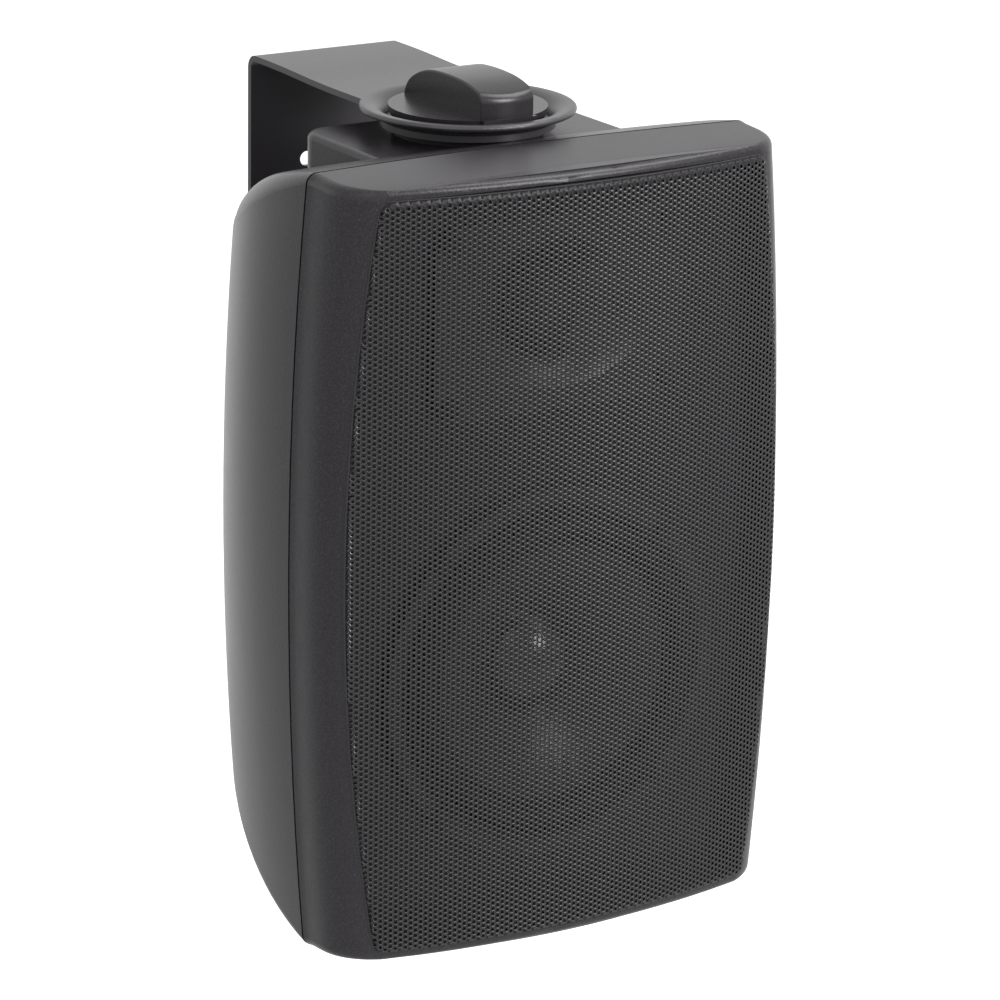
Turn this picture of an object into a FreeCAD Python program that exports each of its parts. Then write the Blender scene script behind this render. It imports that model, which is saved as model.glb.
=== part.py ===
import FreeCAD, Part
import math
import os
from types import SimpleNamespace

import Sketcher

# Driving dimensions in millimetres, one alias per cell of the sheet
SIZES = {
    # wall bracket, one folded and pressed steel strip
    "sheet": 2.0,
    "arm_width": 53.6,
    "leg_height": 105.0,
    "bend_radius": 4.6,
    "leg_corner": 6.0,
    "pan_reach": 93.8,
    "arm_drop": 1.2,
    "drop_run": 52.0,
    "slot_width": 5.0,
    "slot_length": 16.0,
    "slot_below_arm": 37.2,
    "screw_hole": 5.0,
    "hole_spacing": 30.0,
    "hole_above_foot": 17.5,
    "rim_radius": 34.5,
    "flare_radius": 33.0,
    "flare_depth": 4.0,
    "cup_radius": 27.9,
    "dish_depth": 6.6,
    # clamp knob, stud, washer and ring on the pan axis
    "knob_radius": 25.35,
    "knob_lip": 1.6,
    "knob_undercut": 0.7,
    "knob_height": 3.0,
    "grip_width": 19.5,
    "grip_reach": 25.2,
    "grip_height": 10.7,
    "grip_crown": 110.0,
    "crown_front": 10.8,
    "crown_rear": 5.5,
    "nose_height": 7.0,
    "nose_curve": 43.0,
    "nose_round": 3.5,
    "shoulder_reach": 18.0,
    "shoulder_height": 6.8,
    "shoulder_curve": 30.0,
    "tail_reach": 23.2,
    "tail_curve": 10.5,
    "grip_edge": 0.6,
    "washer_radius": 15.0,
    "washer_thickness": 1.2,
    "seat_gap": 0.1,
    "stud_radius": 3.9,
    "stud_in_knob": 9.0,
    "stud_clearance": 0.5,
    "thread_clearance": 0.08,
    "press_clearance": 0.05,
    "insert_radius": 6.0,
    "insert_length": 14.0,
    "ring_inner": 9.0,
    "ring_outer": 24.0,
    "ring_thickness": 2.2,
    "pan_clearance": 0.2,
    # moulded cabinet, measured at the parting line between its two halves
    "pan_setback": 38.2,
    "cabinet_height": 250.0,
    "cabinet_width": 173.0,
    "side_bulge": 5.9,
    "top_crown": 1.2,
    "corner_radius": 3.5,
    "corner_growth": 0.15,
    "cabinet_depth": 104.0,
    "rear_width": 88.0,
    "rear_height": 182.6,
    "fall_power": 1.3,
    "wall": 3.2,
    "inner_corner": 3.0,
    "parting_gap": 0.8,
    "shadow_gap": 1.0,
    "landing_drop": 2.7,
    "landing_width": 93.0,
    "landing_front": 8.0,
    "landing_rear": 66.0,
    "landing_corner": 10.0,
    "landing_depth": 22.0,
    "landing_edge": 2.0,
    "rear_round": 8.0,
    # front moulding with the bezel
    "bezel_depth": 33.7,
    "bow_radius": 300.0,
    "side_round": 16.0,
    "side_straight": 10.7,
    "side_draft": 0.06,
    "front_round": 2.5,
    "opening_height": 240.4,
    "opening_width": 155.6,
    "opening_bulge": 7.5,
    "opening_corner": 4.5,
    "board_front": 14.0,
    "board_thickness": 5.0,
    "tongue": 2.5,
    "tongue_reach": 4.0,
    "tongue_clearance": 1.0,
    # screws through the rear half into the front half
    "boss_radius": 6.5,
    "corner_boss_x": 64.0,
    "corner_boss_z": 98.0,
    "side_boss_x": 64.0,
    "well_radius": 4.2,
    "well_floor": 14.0,
    "case_screw_radius": 1.9,
    "case_screw_head": 3.8,
    "case_screw_head_height": 2.6,
    "case_screw_length": 24.0,
    "screw_clearance": 0.3,
    "front_boss_radius": 5.0,
    # grille tray
    "grille_gap": 1.0,
    "grille_sheet": 1.0,
    "grille_recess": 1.5,
    "hole_pitch": 19.0,
    "hole_flats": 13.0,
    "hole_columns": 4.0,
    "hole_rows": 12.0,
    # woofer, measured from the board's front face
    "woofer_drop": 42.0,
    "flange_radius": 61.0,
    "flange_thickness": 3.5,
    "woofer_hole": 55.0,
    "basket_clearance": 0.8,
    "basket_wall": 1.6,
    "ledge_depth": 19.0,
    "ledge_outer": 42.5,
    "ledge_inner": 37.0,
    "basket_depth": 32.0,
    "window_inner": 44.5,
    "window_outer": 50.5,
    "window_angle": 42.0,
    "surround_outer": 54.5,
    "roll_outer": 52.0,
    "roll_inner": 44.0,
    "surround_thickness": 0.8,
    "cone_land": 2.0,
    "cone_thickness": 0.8,
    "cone_depth": 15.0,
    "cone_curve": 60.0,
    "trim_inner": 52.4,
    "trim_thickness": 1.5,
    "cap_radius": 16.0,
    "cap_sphere": 20.0,
    "cap_thickness": 0.7,
    "cap_lift": 3.0,
    "coil_radius": 13.0,
    "former_thickness": 0.4,
    "winding_thickness": 0.6,
    "winding_height": 9.0,
    "coil_gap": 0.5,
    "coil_reach": 37.0,
    "spider_height": 1.6,
    "spider_thickness": 0.6,
    "plate_radius": 32.0,
    "plate_thickness": 5.0,
    "magnet_radius": 38.0,
    "magnet_bore": 19.0,
    "magnet_thickness": 13.0,
    "yoke_thickness": 5.0,
    "driver_screw_radius": 1.6,
    "driver_screw_head": 3.0,
    "driver_screw_head_height": 1.8,
    "driver_screw_length": 8.0,
    "woofer_screw_circle": 58.0,
    # tweeter, measured from the board's front face
    "tweeter_rise": 76.0,
    "plate_half_width": 45.0,
    "plate_half_height": 31.0,
    "plate_corner": 9.0,
    "face_thickness": 4.0,
    "horn_half_width": 37.0,
    "horn_half_height": 24.0,
    "throat_radius": 13.6,
    "throat_depth": 6.0,
    "neck_radius": 26.0,
    "tweeter_hole": 27.0,
    "tweeter_screw_x": 39.5,
    "tweeter_screw_z": 25.5,
    "dome_radius": 12.8,
    "dome_sphere": 16.0,
    "dome_thickness": 0.4,
    "dome_rim": 22.0,
    "dome_rim_thickness": 0.6,
    "tweeter_plate_radius": 24.0,
    "tweeter_plate_thickness": 3.0,
    "tweeter_magnet_bore": 16.0,
    "tweeter_magnet_thickness": 7.0,
    "tweeter_yoke_thickness": 3.0,
    "tweeter_coil_height": 4.0,
    # push terminals on the flat rear face
    "terminal_drop": 44.0,
    "cup_width": 48.0,
    "cup_height": 36.0,
    "cup_depth": 14.0,
    "cup_wall": 2.0,
    "cup_clearance": 0.3,
    "cup_flange": 6.0,
    "flange_plate": 2.0,
    "block_height": 13.0,
    "block_setback": 3.0,
    "wire_hole": 2.3,
    "lever_width": 17.0,
    "lever_height": 14.5,
    "lever_thickness": 4.0,
    "lever_spacing": 20.0,
    "lever_gap": 0.6,
    "pin_radius": 1.2,
    "pin_clearance": 0.06,
    "tab_width": 5.0,
    "tab_thickness": 0.8,
    "tab_length": 10.0,
    "terminal_screw_length": 9.0,
    # crossover board on the inside of the rear wall
    "board_rise": 34.0,
    "board_width": 60.0,
    "board_height": 48.0,
    "circuit_thickness": 1.6,
    "standoff": 7.0,
    "standoff_radius": 3.4,
    "board_inset": 4.5,
    "board_screw_length": 6.0,
    "inductor_radius": 13.0,
    "inductor_bore": 5.5,
    "inductor_height": 14.0,
    "capacitor_radius": 6.5,
    "capacitor_length": 22.0,
    "resistor_length": 22.0,
    "resistor_width": 8.0,
    "part_gap": 3.0,
}


class Size:
    """A number together with the sheet expression that it comes from."""

    def __init__(self, value, text):
        self.value = value
        self.text = text

    def __add__(self, other):
        return Size(self.value + number(other), f"({self.text} + {words(other)})")

    def __sub__(self, other):
        return Size(self.value - number(other), f"({self.text} - {words(other)})")

    def __mul__(self, other):
        return Size(self.value * number(other), f"({self.text} * {words(other)})")

    def __truediv__(self, other):
        return Size(self.value / number(other), f"({self.text} / {words(other)})")

    def __pow__(self, other):
        return Size(self.value ** number(other), f"({self.text} ^ {words(other)})")

    def __rsub__(self, other):
        return Size(number(other) - self.value, f"({words(other)} - {self.text})")

    def __neg__(self):
        return Size(-self.value, f"(0 - {self.text})")

    __radd__ = __add__
    __rmul__ = __mul__


def number(size):
    return size.value if isinstance(size, Size) else float(size)


def words(size):
    return size.text if isinstance(size, Size) else repr(float(size))


def root(size):
    return Size(math.sqrt(size.value), f"sqrt({size.text})")


doc = FreeCAD.newDocument("wall_speaker")
sheet = doc.addObject("Spreadsheet::Sheet", "Sizes")
for row, (alias, value) in enumerate(SIZES.items(), start=1):
    sheet.set(f"A{row}", alias)
    sheet.set(f"B{row}", str(value))
    sheet.setAlias(f"B{row}", alias)
doc.recompute()
d = SimpleNamespace(**{alias: Size(value, "Sizes." + alias) for alias, value in SIZES.items()})

nodes = []
TOUCH = 0.01


def bind(thing, path, size):
    """Ties one property of a document object to the sheet."""
    thing.setExpression(path, words(size))


def place(thing, x=0.0, y=0.0, z=0.0):
    for axis, size in zip("xyz", (x, y, z)):
        bind(thing, f"Placement.Base.{axis}", size)


def node(thing, label, at):
    """Names a finished piece and sets it in the part's frame."""
    thing.Label = label
    place(thing, *at)
    nodes.append(thing)
    return thing


def new_body(name):
    return doc.addObject("PartDesign::Body", name)


def sketch_on(body, name, plane, offset=0.0, shift=(0.0, 0.0)):
    """A sketch on one of the body's own origin planes, moved along its normal and in the plane."""
    sketch = body.newObject("Sketcher::SketchObject", name)
    support = [item for item in body.Origin.OriginFeatures if item.Role == plane]
    sketch.AttachmentSupport = [(support[0], "")]
    sketch.MapMode = "FlatFace"
    for axis, size in zip("xyz", (*shift, offset)):
        bind(sketch, f"AttachmentOffset.Base.{axis}", size)
    return sketch


def hold(sketch, kind, *target, size=None):
    """Adds a constraint and ties its value to the sheet."""
    if size is None:
        sketch.addConstraint(Sketcher.Constraint(kind, *target))
        return
    index = sketch.addConstraint(Sketcher.Constraint(kind, *target, number(size)))
    if isinstance(size, Size):
        bind(sketch, f"Constraints[{index}]", size)


def pin(sketch, geometry, point, u, v):
    """Fixes a point of the sketch at u, v."""
    for kind, axis, size in (("DistanceX", -2, u), ("DistanceY", -1, v)):
        if not isinstance(size, Size) and size == 0:
            hold(sketch, "PointOnObject", geometry, point, axis)
        else:
            hold(sketch, kind, -1, 1, geometry, point, size=size)


def flat(u, v):
    return FreeCAD.Vector(number(u), number(v), 0)


def arc_between(start, end, radius):
    """An arc whose centre lies left of the way from start to end when radius is positive."""
    middle = (start + end) * 0.5
    way = end - start
    left = FreeCAD.Vector(-way.y, way.x, 0).normalize()
    rise = math.sqrt(max(radius ** 2 - (way.Length / 2) ** 2, 0.0))
    centre = middle + left * math.copysign(rise, radius)
    first, last = (start, end) if radius > 0 else (end, start)
    angles = [math.atan2(point.y - centre.y, point.x - centre.x) for point in (first, last)]
    circle = Part.Circle(centre, FreeCAD.Vector(0, 0, 1), abs(radius))
    return Part.ArcOfCircle(circle, *angles)


def outline(sketch, vertices):
    """Draws a closed outline; a third entry of a vertex is the radius of the arc to the next one."""
    ends = []
    for index, vertex in enumerate(vertices):
        following = vertices[(index + 1) % len(vertices)]
        start, end = flat(*vertex[:2]), flat(*following[:2])
        if len(vertex) == 2:
            ends.append((sketch.addGeometry(Part.LineSegment(start, end)), 1, 2))
            continue
        radius = number(vertex[2])
        order = (1, 2) if radius > 0 else (2, 1)
        ends.append((sketch.addGeometry(arc_between(start, end, radius)), *order))
    for index, (geometry, first, last) in enumerate(ends):
        following = ends[(index + 1) % len(ends)]
        hold(sketch, "Coincident", geometry, last, following[0], following[1])
    for vertex, (geometry, first, last) in zip(vertices, ends):
        pin(sketch, geometry, first, *vertex[:2])
        if len(vertex) == 3:
            size = vertex[2] if number(vertex[2]) > 0 else -vertex[2]
            hold(sketch, "Radius", geometry, size=size)
    return sketch


def ring(sketch, radius, u=0.0, v=0.0):
    circle = Part.Circle(flat(u, v), FreeCAD.Vector(0, 0, 1), number(radius))
    geometry = sketch.addGeometry(circle)
    pin(sketch, geometry, 3, u, v)
    hold(sketch, "Radius", geometry, size=radius)
    return sketch


def box_outline(sketch, half_u, half_v, corner=None, u=0.0, v=0.0):
    """A rectangle about u, v, with rounded corners where a radius is given."""
    if corner is None:
        corners = [(-1, -1), (1, -1), (1, 1), (-1, 1)]
        return outline(sketch, [(u + half_u * a, v + half_v * b) for a, b in corners])
    in_u, in_v = half_u - corner, half_v - corner
    return outline(sketch, [
        (u - in_u, v - half_v), (u + in_u, v - half_v, corner),
        (u + half_u, v - in_v), (u + half_u, v + in_v, corner),
        (u + in_u, v + half_v), (u - in_u, v + half_v, corner),
        (u - half_u, v + in_v), (u - half_u, v - in_v, corner)])


def barrel(sketch, half_width, bulge, half_height, crown, corner):
    """A closed outline with bulged sides, a crowned top and bottom and tangent corners."""
    half_end = half_width - bulge
    side = (half_height ** 2 + bulge ** 2) / (bulge * 2)
    cap = (half_end ** 2 + crown ** 2) / (crown * 2)
    side_x = half_width - side
    cap_z = half_height + crown - cap
    x_one, z_two = number(side_x), number(cap_z)
    reach_one = number(side) - number(corner)
    reach_two = number(cap) - number(corner)
    span = math.hypot(x_one, z_two)
    along = (reach_one ** 2 - reach_two ** 2 + span ** 2) / (2 * span)
    aside = math.sqrt(reach_one ** 2 - along ** 2)
    way = FreeCAD.Vector(-x_one, z_two, 0) / span
    foot = FreeCAD.Vector(x_one, 0, 0) + way * along
    centre = foot + FreeCAD.Vector(-way.y, way.x, 0) * aside
    low = math.atan2(centre.y, centre.x - x_one)
    high = math.atan2(centre.y - z_two, centre.x)
    half_turn, full_turn = math.pi, 2 * math.pi
    arcs = [
        (x_one, 0, side, -low, low),
        (centre.x, centre.y, corner, low, high),
        (0, z_two, cap, high, half_turn - high),
        (-centre.x, centre.y, corner, half_turn - high, half_turn - low),
        (-x_one, 0, side, half_turn - low, half_turn + low),
        (-centre.x, -centre.y, corner, half_turn + low, half_turn + high),
        (0, -z_two, cap, half_turn + high, full_turn - high),
        (centre.x, -centre.y, corner, full_turn - high, full_turn - low)]
    first = None
    for u, v, radius, start, end in arcs:
        circle = Part.Circle(flat(u, v), FreeCAD.Vector(0, 0, 1), number(radius))
        geometry = sketch.addGeometry(Part.ArcOfCircle(circle, start, end))
        first = geometry if first is None else first
    for step in range(8):
        hold(sketch, "Tangent", first + step, 2, first + (step + 1) % 8, 1)
    for step, (u, v, radius, start, end) in enumerate(arcs):
        hold(sketch, "Radius", first + step, size=radius)
    for step, u, v in ((0, side_x, 0), (2, 0, cap_z), (4, -side_x, 0), (6, 0, -cap_z)):
        pin(sketch, first + step, 3, u, v)
    return sketch


def pad(body, name, sketch, length, reverse=False, both=False, taper=None):
    feature = body.newObject("PartDesign::Pad", name)
    feature.Profile = sketch
    feature.Reversed = reverse
    feature.SideType = "Symmetric" if both else "One side"
    bind(feature, "Length", length)
    if taper is not None:
        bind(feature, "TaperAngle", taper)
    return feature


def pocket(body, name, sketch, length=None, reverse=False, both=False):
    """Cuts a sketch out of the body, right through where no length is given."""
    feature = body.newObject("PartDesign::Pocket", name)
    feature.Profile = sketch
    feature.Reversed = reverse
    feature.SideType = "Symmetric" if both else "One side"
    if length is None:
        feature.Type = "ThroughAll"
    else:
        bind(feature, "Length", length)
    return feature


def turned(name, vertices, plane="XY_Plane"):
    """A body turned about the sketch's upright axis: u is the radius, v the place on the axis."""
    body = new_body(name)
    sketch = outline(sketch_on(body, name + "_profile", plane), vertices)
    feature = body.newObject("PartDesign::Revolution", name + "_turn")
    feature.Profile = sketch
    feature.ReferenceAxis = (sketch, ["V_Axis"])
    return body


def loft(body, name, sections, kind="Additive"):
    feature = body.newObject(f"PartDesign::{kind}Loft", name)
    feature.Profile = sections[0]
    feature.Sections = list(sections[1:])
    return feature


def fillet(body, name, radius, wanted):
    """Rounds the edges of the body's last feature that pass the test."""
    doc.recompute()
    base = body.Tip
    edges = base.Shape.Edges
    chosen = [f"Edge{index}" for index, edge in enumerate(edges, start=1) if wanted(edge)]
    feature = body.newObject("PartDesign::Fillet", name)
    feature.Base = (base, chosen)
    bind(feature, "Radius", radius)
    return feature


def joined(kind, name, *shapes):
    """A boolean of whole objects: Cut takes two, MultiFuse and MultiCommon take a list."""
    feature = doc.addObject("Part::" + kind, name)
    if kind == "Cut":
        feature.Base, feature.Tool = shapes
    else:
        feature.Shapes = list(shapes)
    return feature


def mirrored_set(name, source, normals):
    """A group of separate solids: the source and its mirror images across planes at its origin."""
    group = [source]
    for index, normal in enumerate(normals):
        for item in list(group):
            image = doc.addObject("Part::Mirroring", f"{name}_{index}_{len(group)}")
            image.Source = item
            image.Normal = FreeCAD.Vector(*normal)
            group.append(image)
    feature = doc.addObject("Part::Compound", name)
    feature.Links = group
    return feature


ACROSS, UP = (1, 0, 0), (0, 0, 1)

# Places that several pieces share, in the part's frame: the wall is the plane y = 0
arm_top = d.leg_height / 2
landing_height = d.cabinet_height / 2 - d.landing_drop
stack = d.dish_depth + d.pan_clearance + d.ring_thickness
PAN = (0, -d.pan_reach, arm_top - d.arm_drop)
CABINET = (0, PAN[1] - d.pan_setback, PAN[2] - stack - landing_height)
WOOFER = (0, CABINET[1] - d.board_front, CABINET[2] - d.woofer_drop)
TWEETER = (0, CABINET[1] - d.board_front, CABINET[2] + d.tweeter_rise)
TERMINAL = (0, CABINET[1] + d.cabinet_depth, CABINET[2] - d.terminal_drop)
CIRCUIT = (0, CABINET[1] + d.cabinet_depth - d.wall - d.standoff, CABINET[2] + d.board_rise)


def build_bracket():
    """Folded steel strip: wall leg, bend, arm and the round dish pressed into the arm's end."""
    body = new_body("strip")
    foot = -arm_top
    inner_bend = d.bend_radius - d.sheet
    level = arm_top - d.arm_drop
    sweep = (d.drop_run ** 2 + d.arm_drop ** 2) / (d.arm_drop * 4)
    low = d.rim_radius - d.pan_reach
    half_way, high = low + d.drop_run / 2, low + d.drop_run
    middle = arm_top - d.arm_drop / 2
    profile = outline(sketch_on(body, "strip_profile", "YZ_Plane"), [
        (0, foot), (0, arm_top - d.bend_radius, d.bend_radius),
        (-d.bend_radius, arm_top), (high, arm_top, sweep), (half_way, middle, -sweep), (low, level),
        (-d.pan_reach, level), (-d.pan_reach, level - d.sheet),
        (low, level - d.sheet, sweep), (half_way, middle - d.sheet, -sweep), (high, arm_top - d.sheet),
        (-d.bend_radius, arm_top - d.sheet, -inner_bend),
        (-d.sheet, arm_top - d.bend_radius), (-d.sheet, foot)])
    pad(body, "strip_pad", profile, d.arm_width, both=True)
    opening = ring(sketch_on(body, "dish_opening", "XY_Plane"), d.flare_radius, 0, -d.pan_reach)
    pocket(body, "dish_cut", opening, reverse=True)
    cup_inside = d.cup_radius - d.sheet
    flare = ((d.flare_radius - cup_inside) ** 2 + d.flare_depth ** 2) / (d.flare_depth * 2)
    under = root((flare - d.sheet) ** 2 - (d.flare_radius - d.cup_radius) ** 2) - flare
    bore = d.stud_radius + d.stud_clearance
    bead = d.sheet / 2
    dish = outline(sketch_on(body, "dish_profile", "YZ_Plane", shift=(-d.pan_reach, level)), [
        (bore, -d.dish_depth), (d.cup_radius, -d.dish_depth),
        (d.cup_radius, under, d.sheet - flare), (d.flare_radius, -d.sheet),
        (d.rim_radius - bead, -d.sheet, bead), (d.rim_radius, -bead, bead),
        (d.rim_radius - bead, 0), (d.flare_radius, 0, flare),
        (cup_inside, -d.flare_depth), (cup_inside, d.sheet - d.dish_depth),
        (bore, d.sheet - d.dish_depth)])
    turn = body.newObject("PartDesign::Revolution", "dish_turn")
    turn.Profile = dish
    turn.ReferenceAxis = (dish, ["V_Axis"])
    holes = sketch_on(body, "wall_holes", "XZ_Plane")
    slot_z = arm_top - d.slot_below_arm
    end = d.slot_width / 2
    straight = d.slot_length / 2 - end
    outline(holes, [
        (-straight, slot_z - end), (straight, slot_z - end, end), (straight + end, slot_z, end),
        (straight, slot_z + end), (-straight, slot_z + end, end), (-straight - end, slot_z, end)])
    for side in (-1, 1):
        ring(holes, d.screw_hole / 2, d.hole_spacing * side / 2, foot + d.hole_above_foot)
    pocket(body, "wall_hole_cut", holes, d.sheet, reverse=True)
    lowest = number(foot) + TOUCH
    fillet(body, "leg_corners", d.leg_corner,
           lambda edge: edge.BoundBox.ZMax < lowest and edge.BoundBox.XLength < TOUCH)
    return node(body, "wall_bracket", (0, 0, 0))


KNOB_BOTTOM = d.sheet - d.dish_depth + d.seat_gap * 2 + d.washer_thickness
KNOB_TOP = KNOB_BOTTOM + d.knob_height


def build_knob():
    """Clamp knob: a stepped disc with a domed grip bar across it, hollow for the stud."""
    core = d.knob_radius - d.knob_undercut
    lip = KNOB_TOP - d.knob_lip
    body = turned("disc", [
        (0, KNOB_BOTTOM), (core, KNOB_BOTTOM), (core, lip), (d.knob_radius, lip),
        (d.knob_radius, KNOB_TOP), (0, KNOB_TOP)], "XZ_Plane")
    top = KNOB_TOP + d.grip_height
    arch = outline(sketch_on(body, "grip_profile", "YZ_Plane"), [
        (-d.knob_radius, lip), (d.tail_reach, lip), (d.tail_reach, KNOB_TOP, d.tail_curve),
        (d.shoulder_reach, KNOB_TOP + d.shoulder_height, d.shoulder_curve),
        (d.crown_rear, top, d.grip_crown), (-d.crown_front, top, d.nose_curve),
        (-d.knob_radius, KNOB_TOP + d.nose_height)])
    pad(body, "grip_pad", arch, d.grip_width, both=True)
    trim = sketch_on(body, "grip_trim", "XY_Plane", KNOB_TOP)
    ring(trim, d.grip_reach)
    ring(trim, d.knob_radius * 2)
    pocket(body, "grip_ends", trim, d.grip_height * 2, reverse=True)
    nose = number(KNOB_TOP + d.nose_height / 2)
    ahead = -number(d.crown_front)
    fillet(body, "grip_nose", d.nose_round,
           lambda edge: edge.BoundBox.ZMin > nose and edge.BoundBox.YMax < ahead)
    disc_top = number(KNOB_TOP) + TOUCH
    fillet(body, "grip_sides", d.grip_edge,
           lambda edge: edge.BoundBox.XLength < TOUCH and edge.BoundBox.ZMax > disc_top)
    hole = ring(sketch_on(body, "stud_hole", "XY_Plane", KNOB_BOTTOM), d.stud_radius + d.press_clearance)
    pocket(body, "stud_pocket", hole, d.stud_in_knob, reverse=True)
    return node(body, "clamp_knob", PAN)


def build_pan_stack():
    """Stud, washer, friction ring and threaded insert, all turned about the pan axis."""
    stud_low = d.stud_radius - stack - d.insert_length
    stud_high = KNOB_BOTTOM + d.stud_in_knob
    bevel = d.stud_radius / 4
    stud = turned("stud_turned", [
        (0, stud_low), (d.stud_radius - bevel, stud_low), (d.stud_radius, stud_low + bevel),
        (d.stud_radius, stud_high), (0, stud_high)], "XZ_Plane")
    node(stud, "knob_stud", PAN)
    floor = d.sheet - d.dish_depth + d.seat_gap
    bore = d.stud_radius + d.stud_clearance
    node(washer("washer_turned", bore, d.washer_radius, floor, floor + d.washer_thickness),
         "knob_washer", PAN)
    node(washer("ring_turned", d.ring_inner, d.ring_outer, -stack, d.ring_thickness - stack),
         "friction_ring", PAN)
    node(washer("insert_turned", d.stud_radius + d.thread_clearance, d.insert_radius,
                -stack - d.insert_length, -stack), "thread_insert", PAN)


def washer(name, inner, outer, low, high, plane="XZ_Plane"):
    return turned(name, [(inner, low), (outer, low), (outer, high), (inner, high)], plane)


def shell_section(body, name, share, inset, depth, corner):
    """One upright section of the rear half; share runs from 0 at the parting line to 1 at the rear."""
    narrowing = 1 - d.rear_width * d.rear_width / (d.cabinet_width * d.cabinet_width)
    half_width = d.cabinet_width / 2 * root(1 - narrowing * (share ** 2))
    bulge = half_width * d.side_bulge * 2 / d.cabinet_width
    fall = (d.cabinet_height - d.rear_height) / 2
    if share > 0:
        fall = fall * Size(share, repr(share)) ** d.fall_power
        half_height = d.cabinet_height / 2 - fall
    else:
        half_height = d.cabinet_height / 2
    sketch = sketch_on(body, name, "XZ_Plane", -depth)
    barrel(sketch, half_width - inset, bulge, half_height - inset, d.top_crown, corner)
    return sketch


LOFT_SHARES = (0.0, 0.3, 0.6, 0.85, 1.0)


def shell_loft(name, inset, corner, floor):
    """The rear half's form, full size for its outside or inset for its hollow."""
    body = new_body(name)
    start = d.parting_gap / 2
    sections = []
    for step, share in enumerate(LOFT_SHARES):
        depth = start + (d.cabinet_depth - floor - start) * share
        growth = d.corner_growth * d.cabinet_depth * share
        sections.append(shell_section(body, f"{name}_{step}", share, inset, depth, corner + growth))
    loft(body, name + "_loft", sections)
    return body


def pegs(name, spots, radius, start, length):
    """Round pegs that run towards the rear from the plane at start, one at each spot."""
    body = new_body(name)
    body.AllowCompound = True
    sketch = sketch_on(body, name + "_rings", "XZ_Plane", -start)
    for u, v in spots:
        ring(sketch, radius, u, v)
    pad(body, name + "_pad", sketch, length, reverse=True)
    return body


def four(u, v):
    return [(u * a, v * b) for a, b in ((-1, -1), (1, -1), (1, 1), (-1, 1))]


CASE_SPOTS = four(d.corner_boss_x, d.corner_boss_z) + [(d.side_boss_x, 0), (-d.side_boss_x, 0)]
CIRCUIT_SPOTS = four(d.board_width / 2 - d.board_inset, d.board_height / 2 - d.board_inset)
TERMINAL_SPOTS = four(d.cup_width / 2 + d.cup_flange / 2, d.cup_height / 2 + d.cup_flange / 2)


def raised(spots, rise):
    return [(u, v + rise) for u, v in spots]


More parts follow.
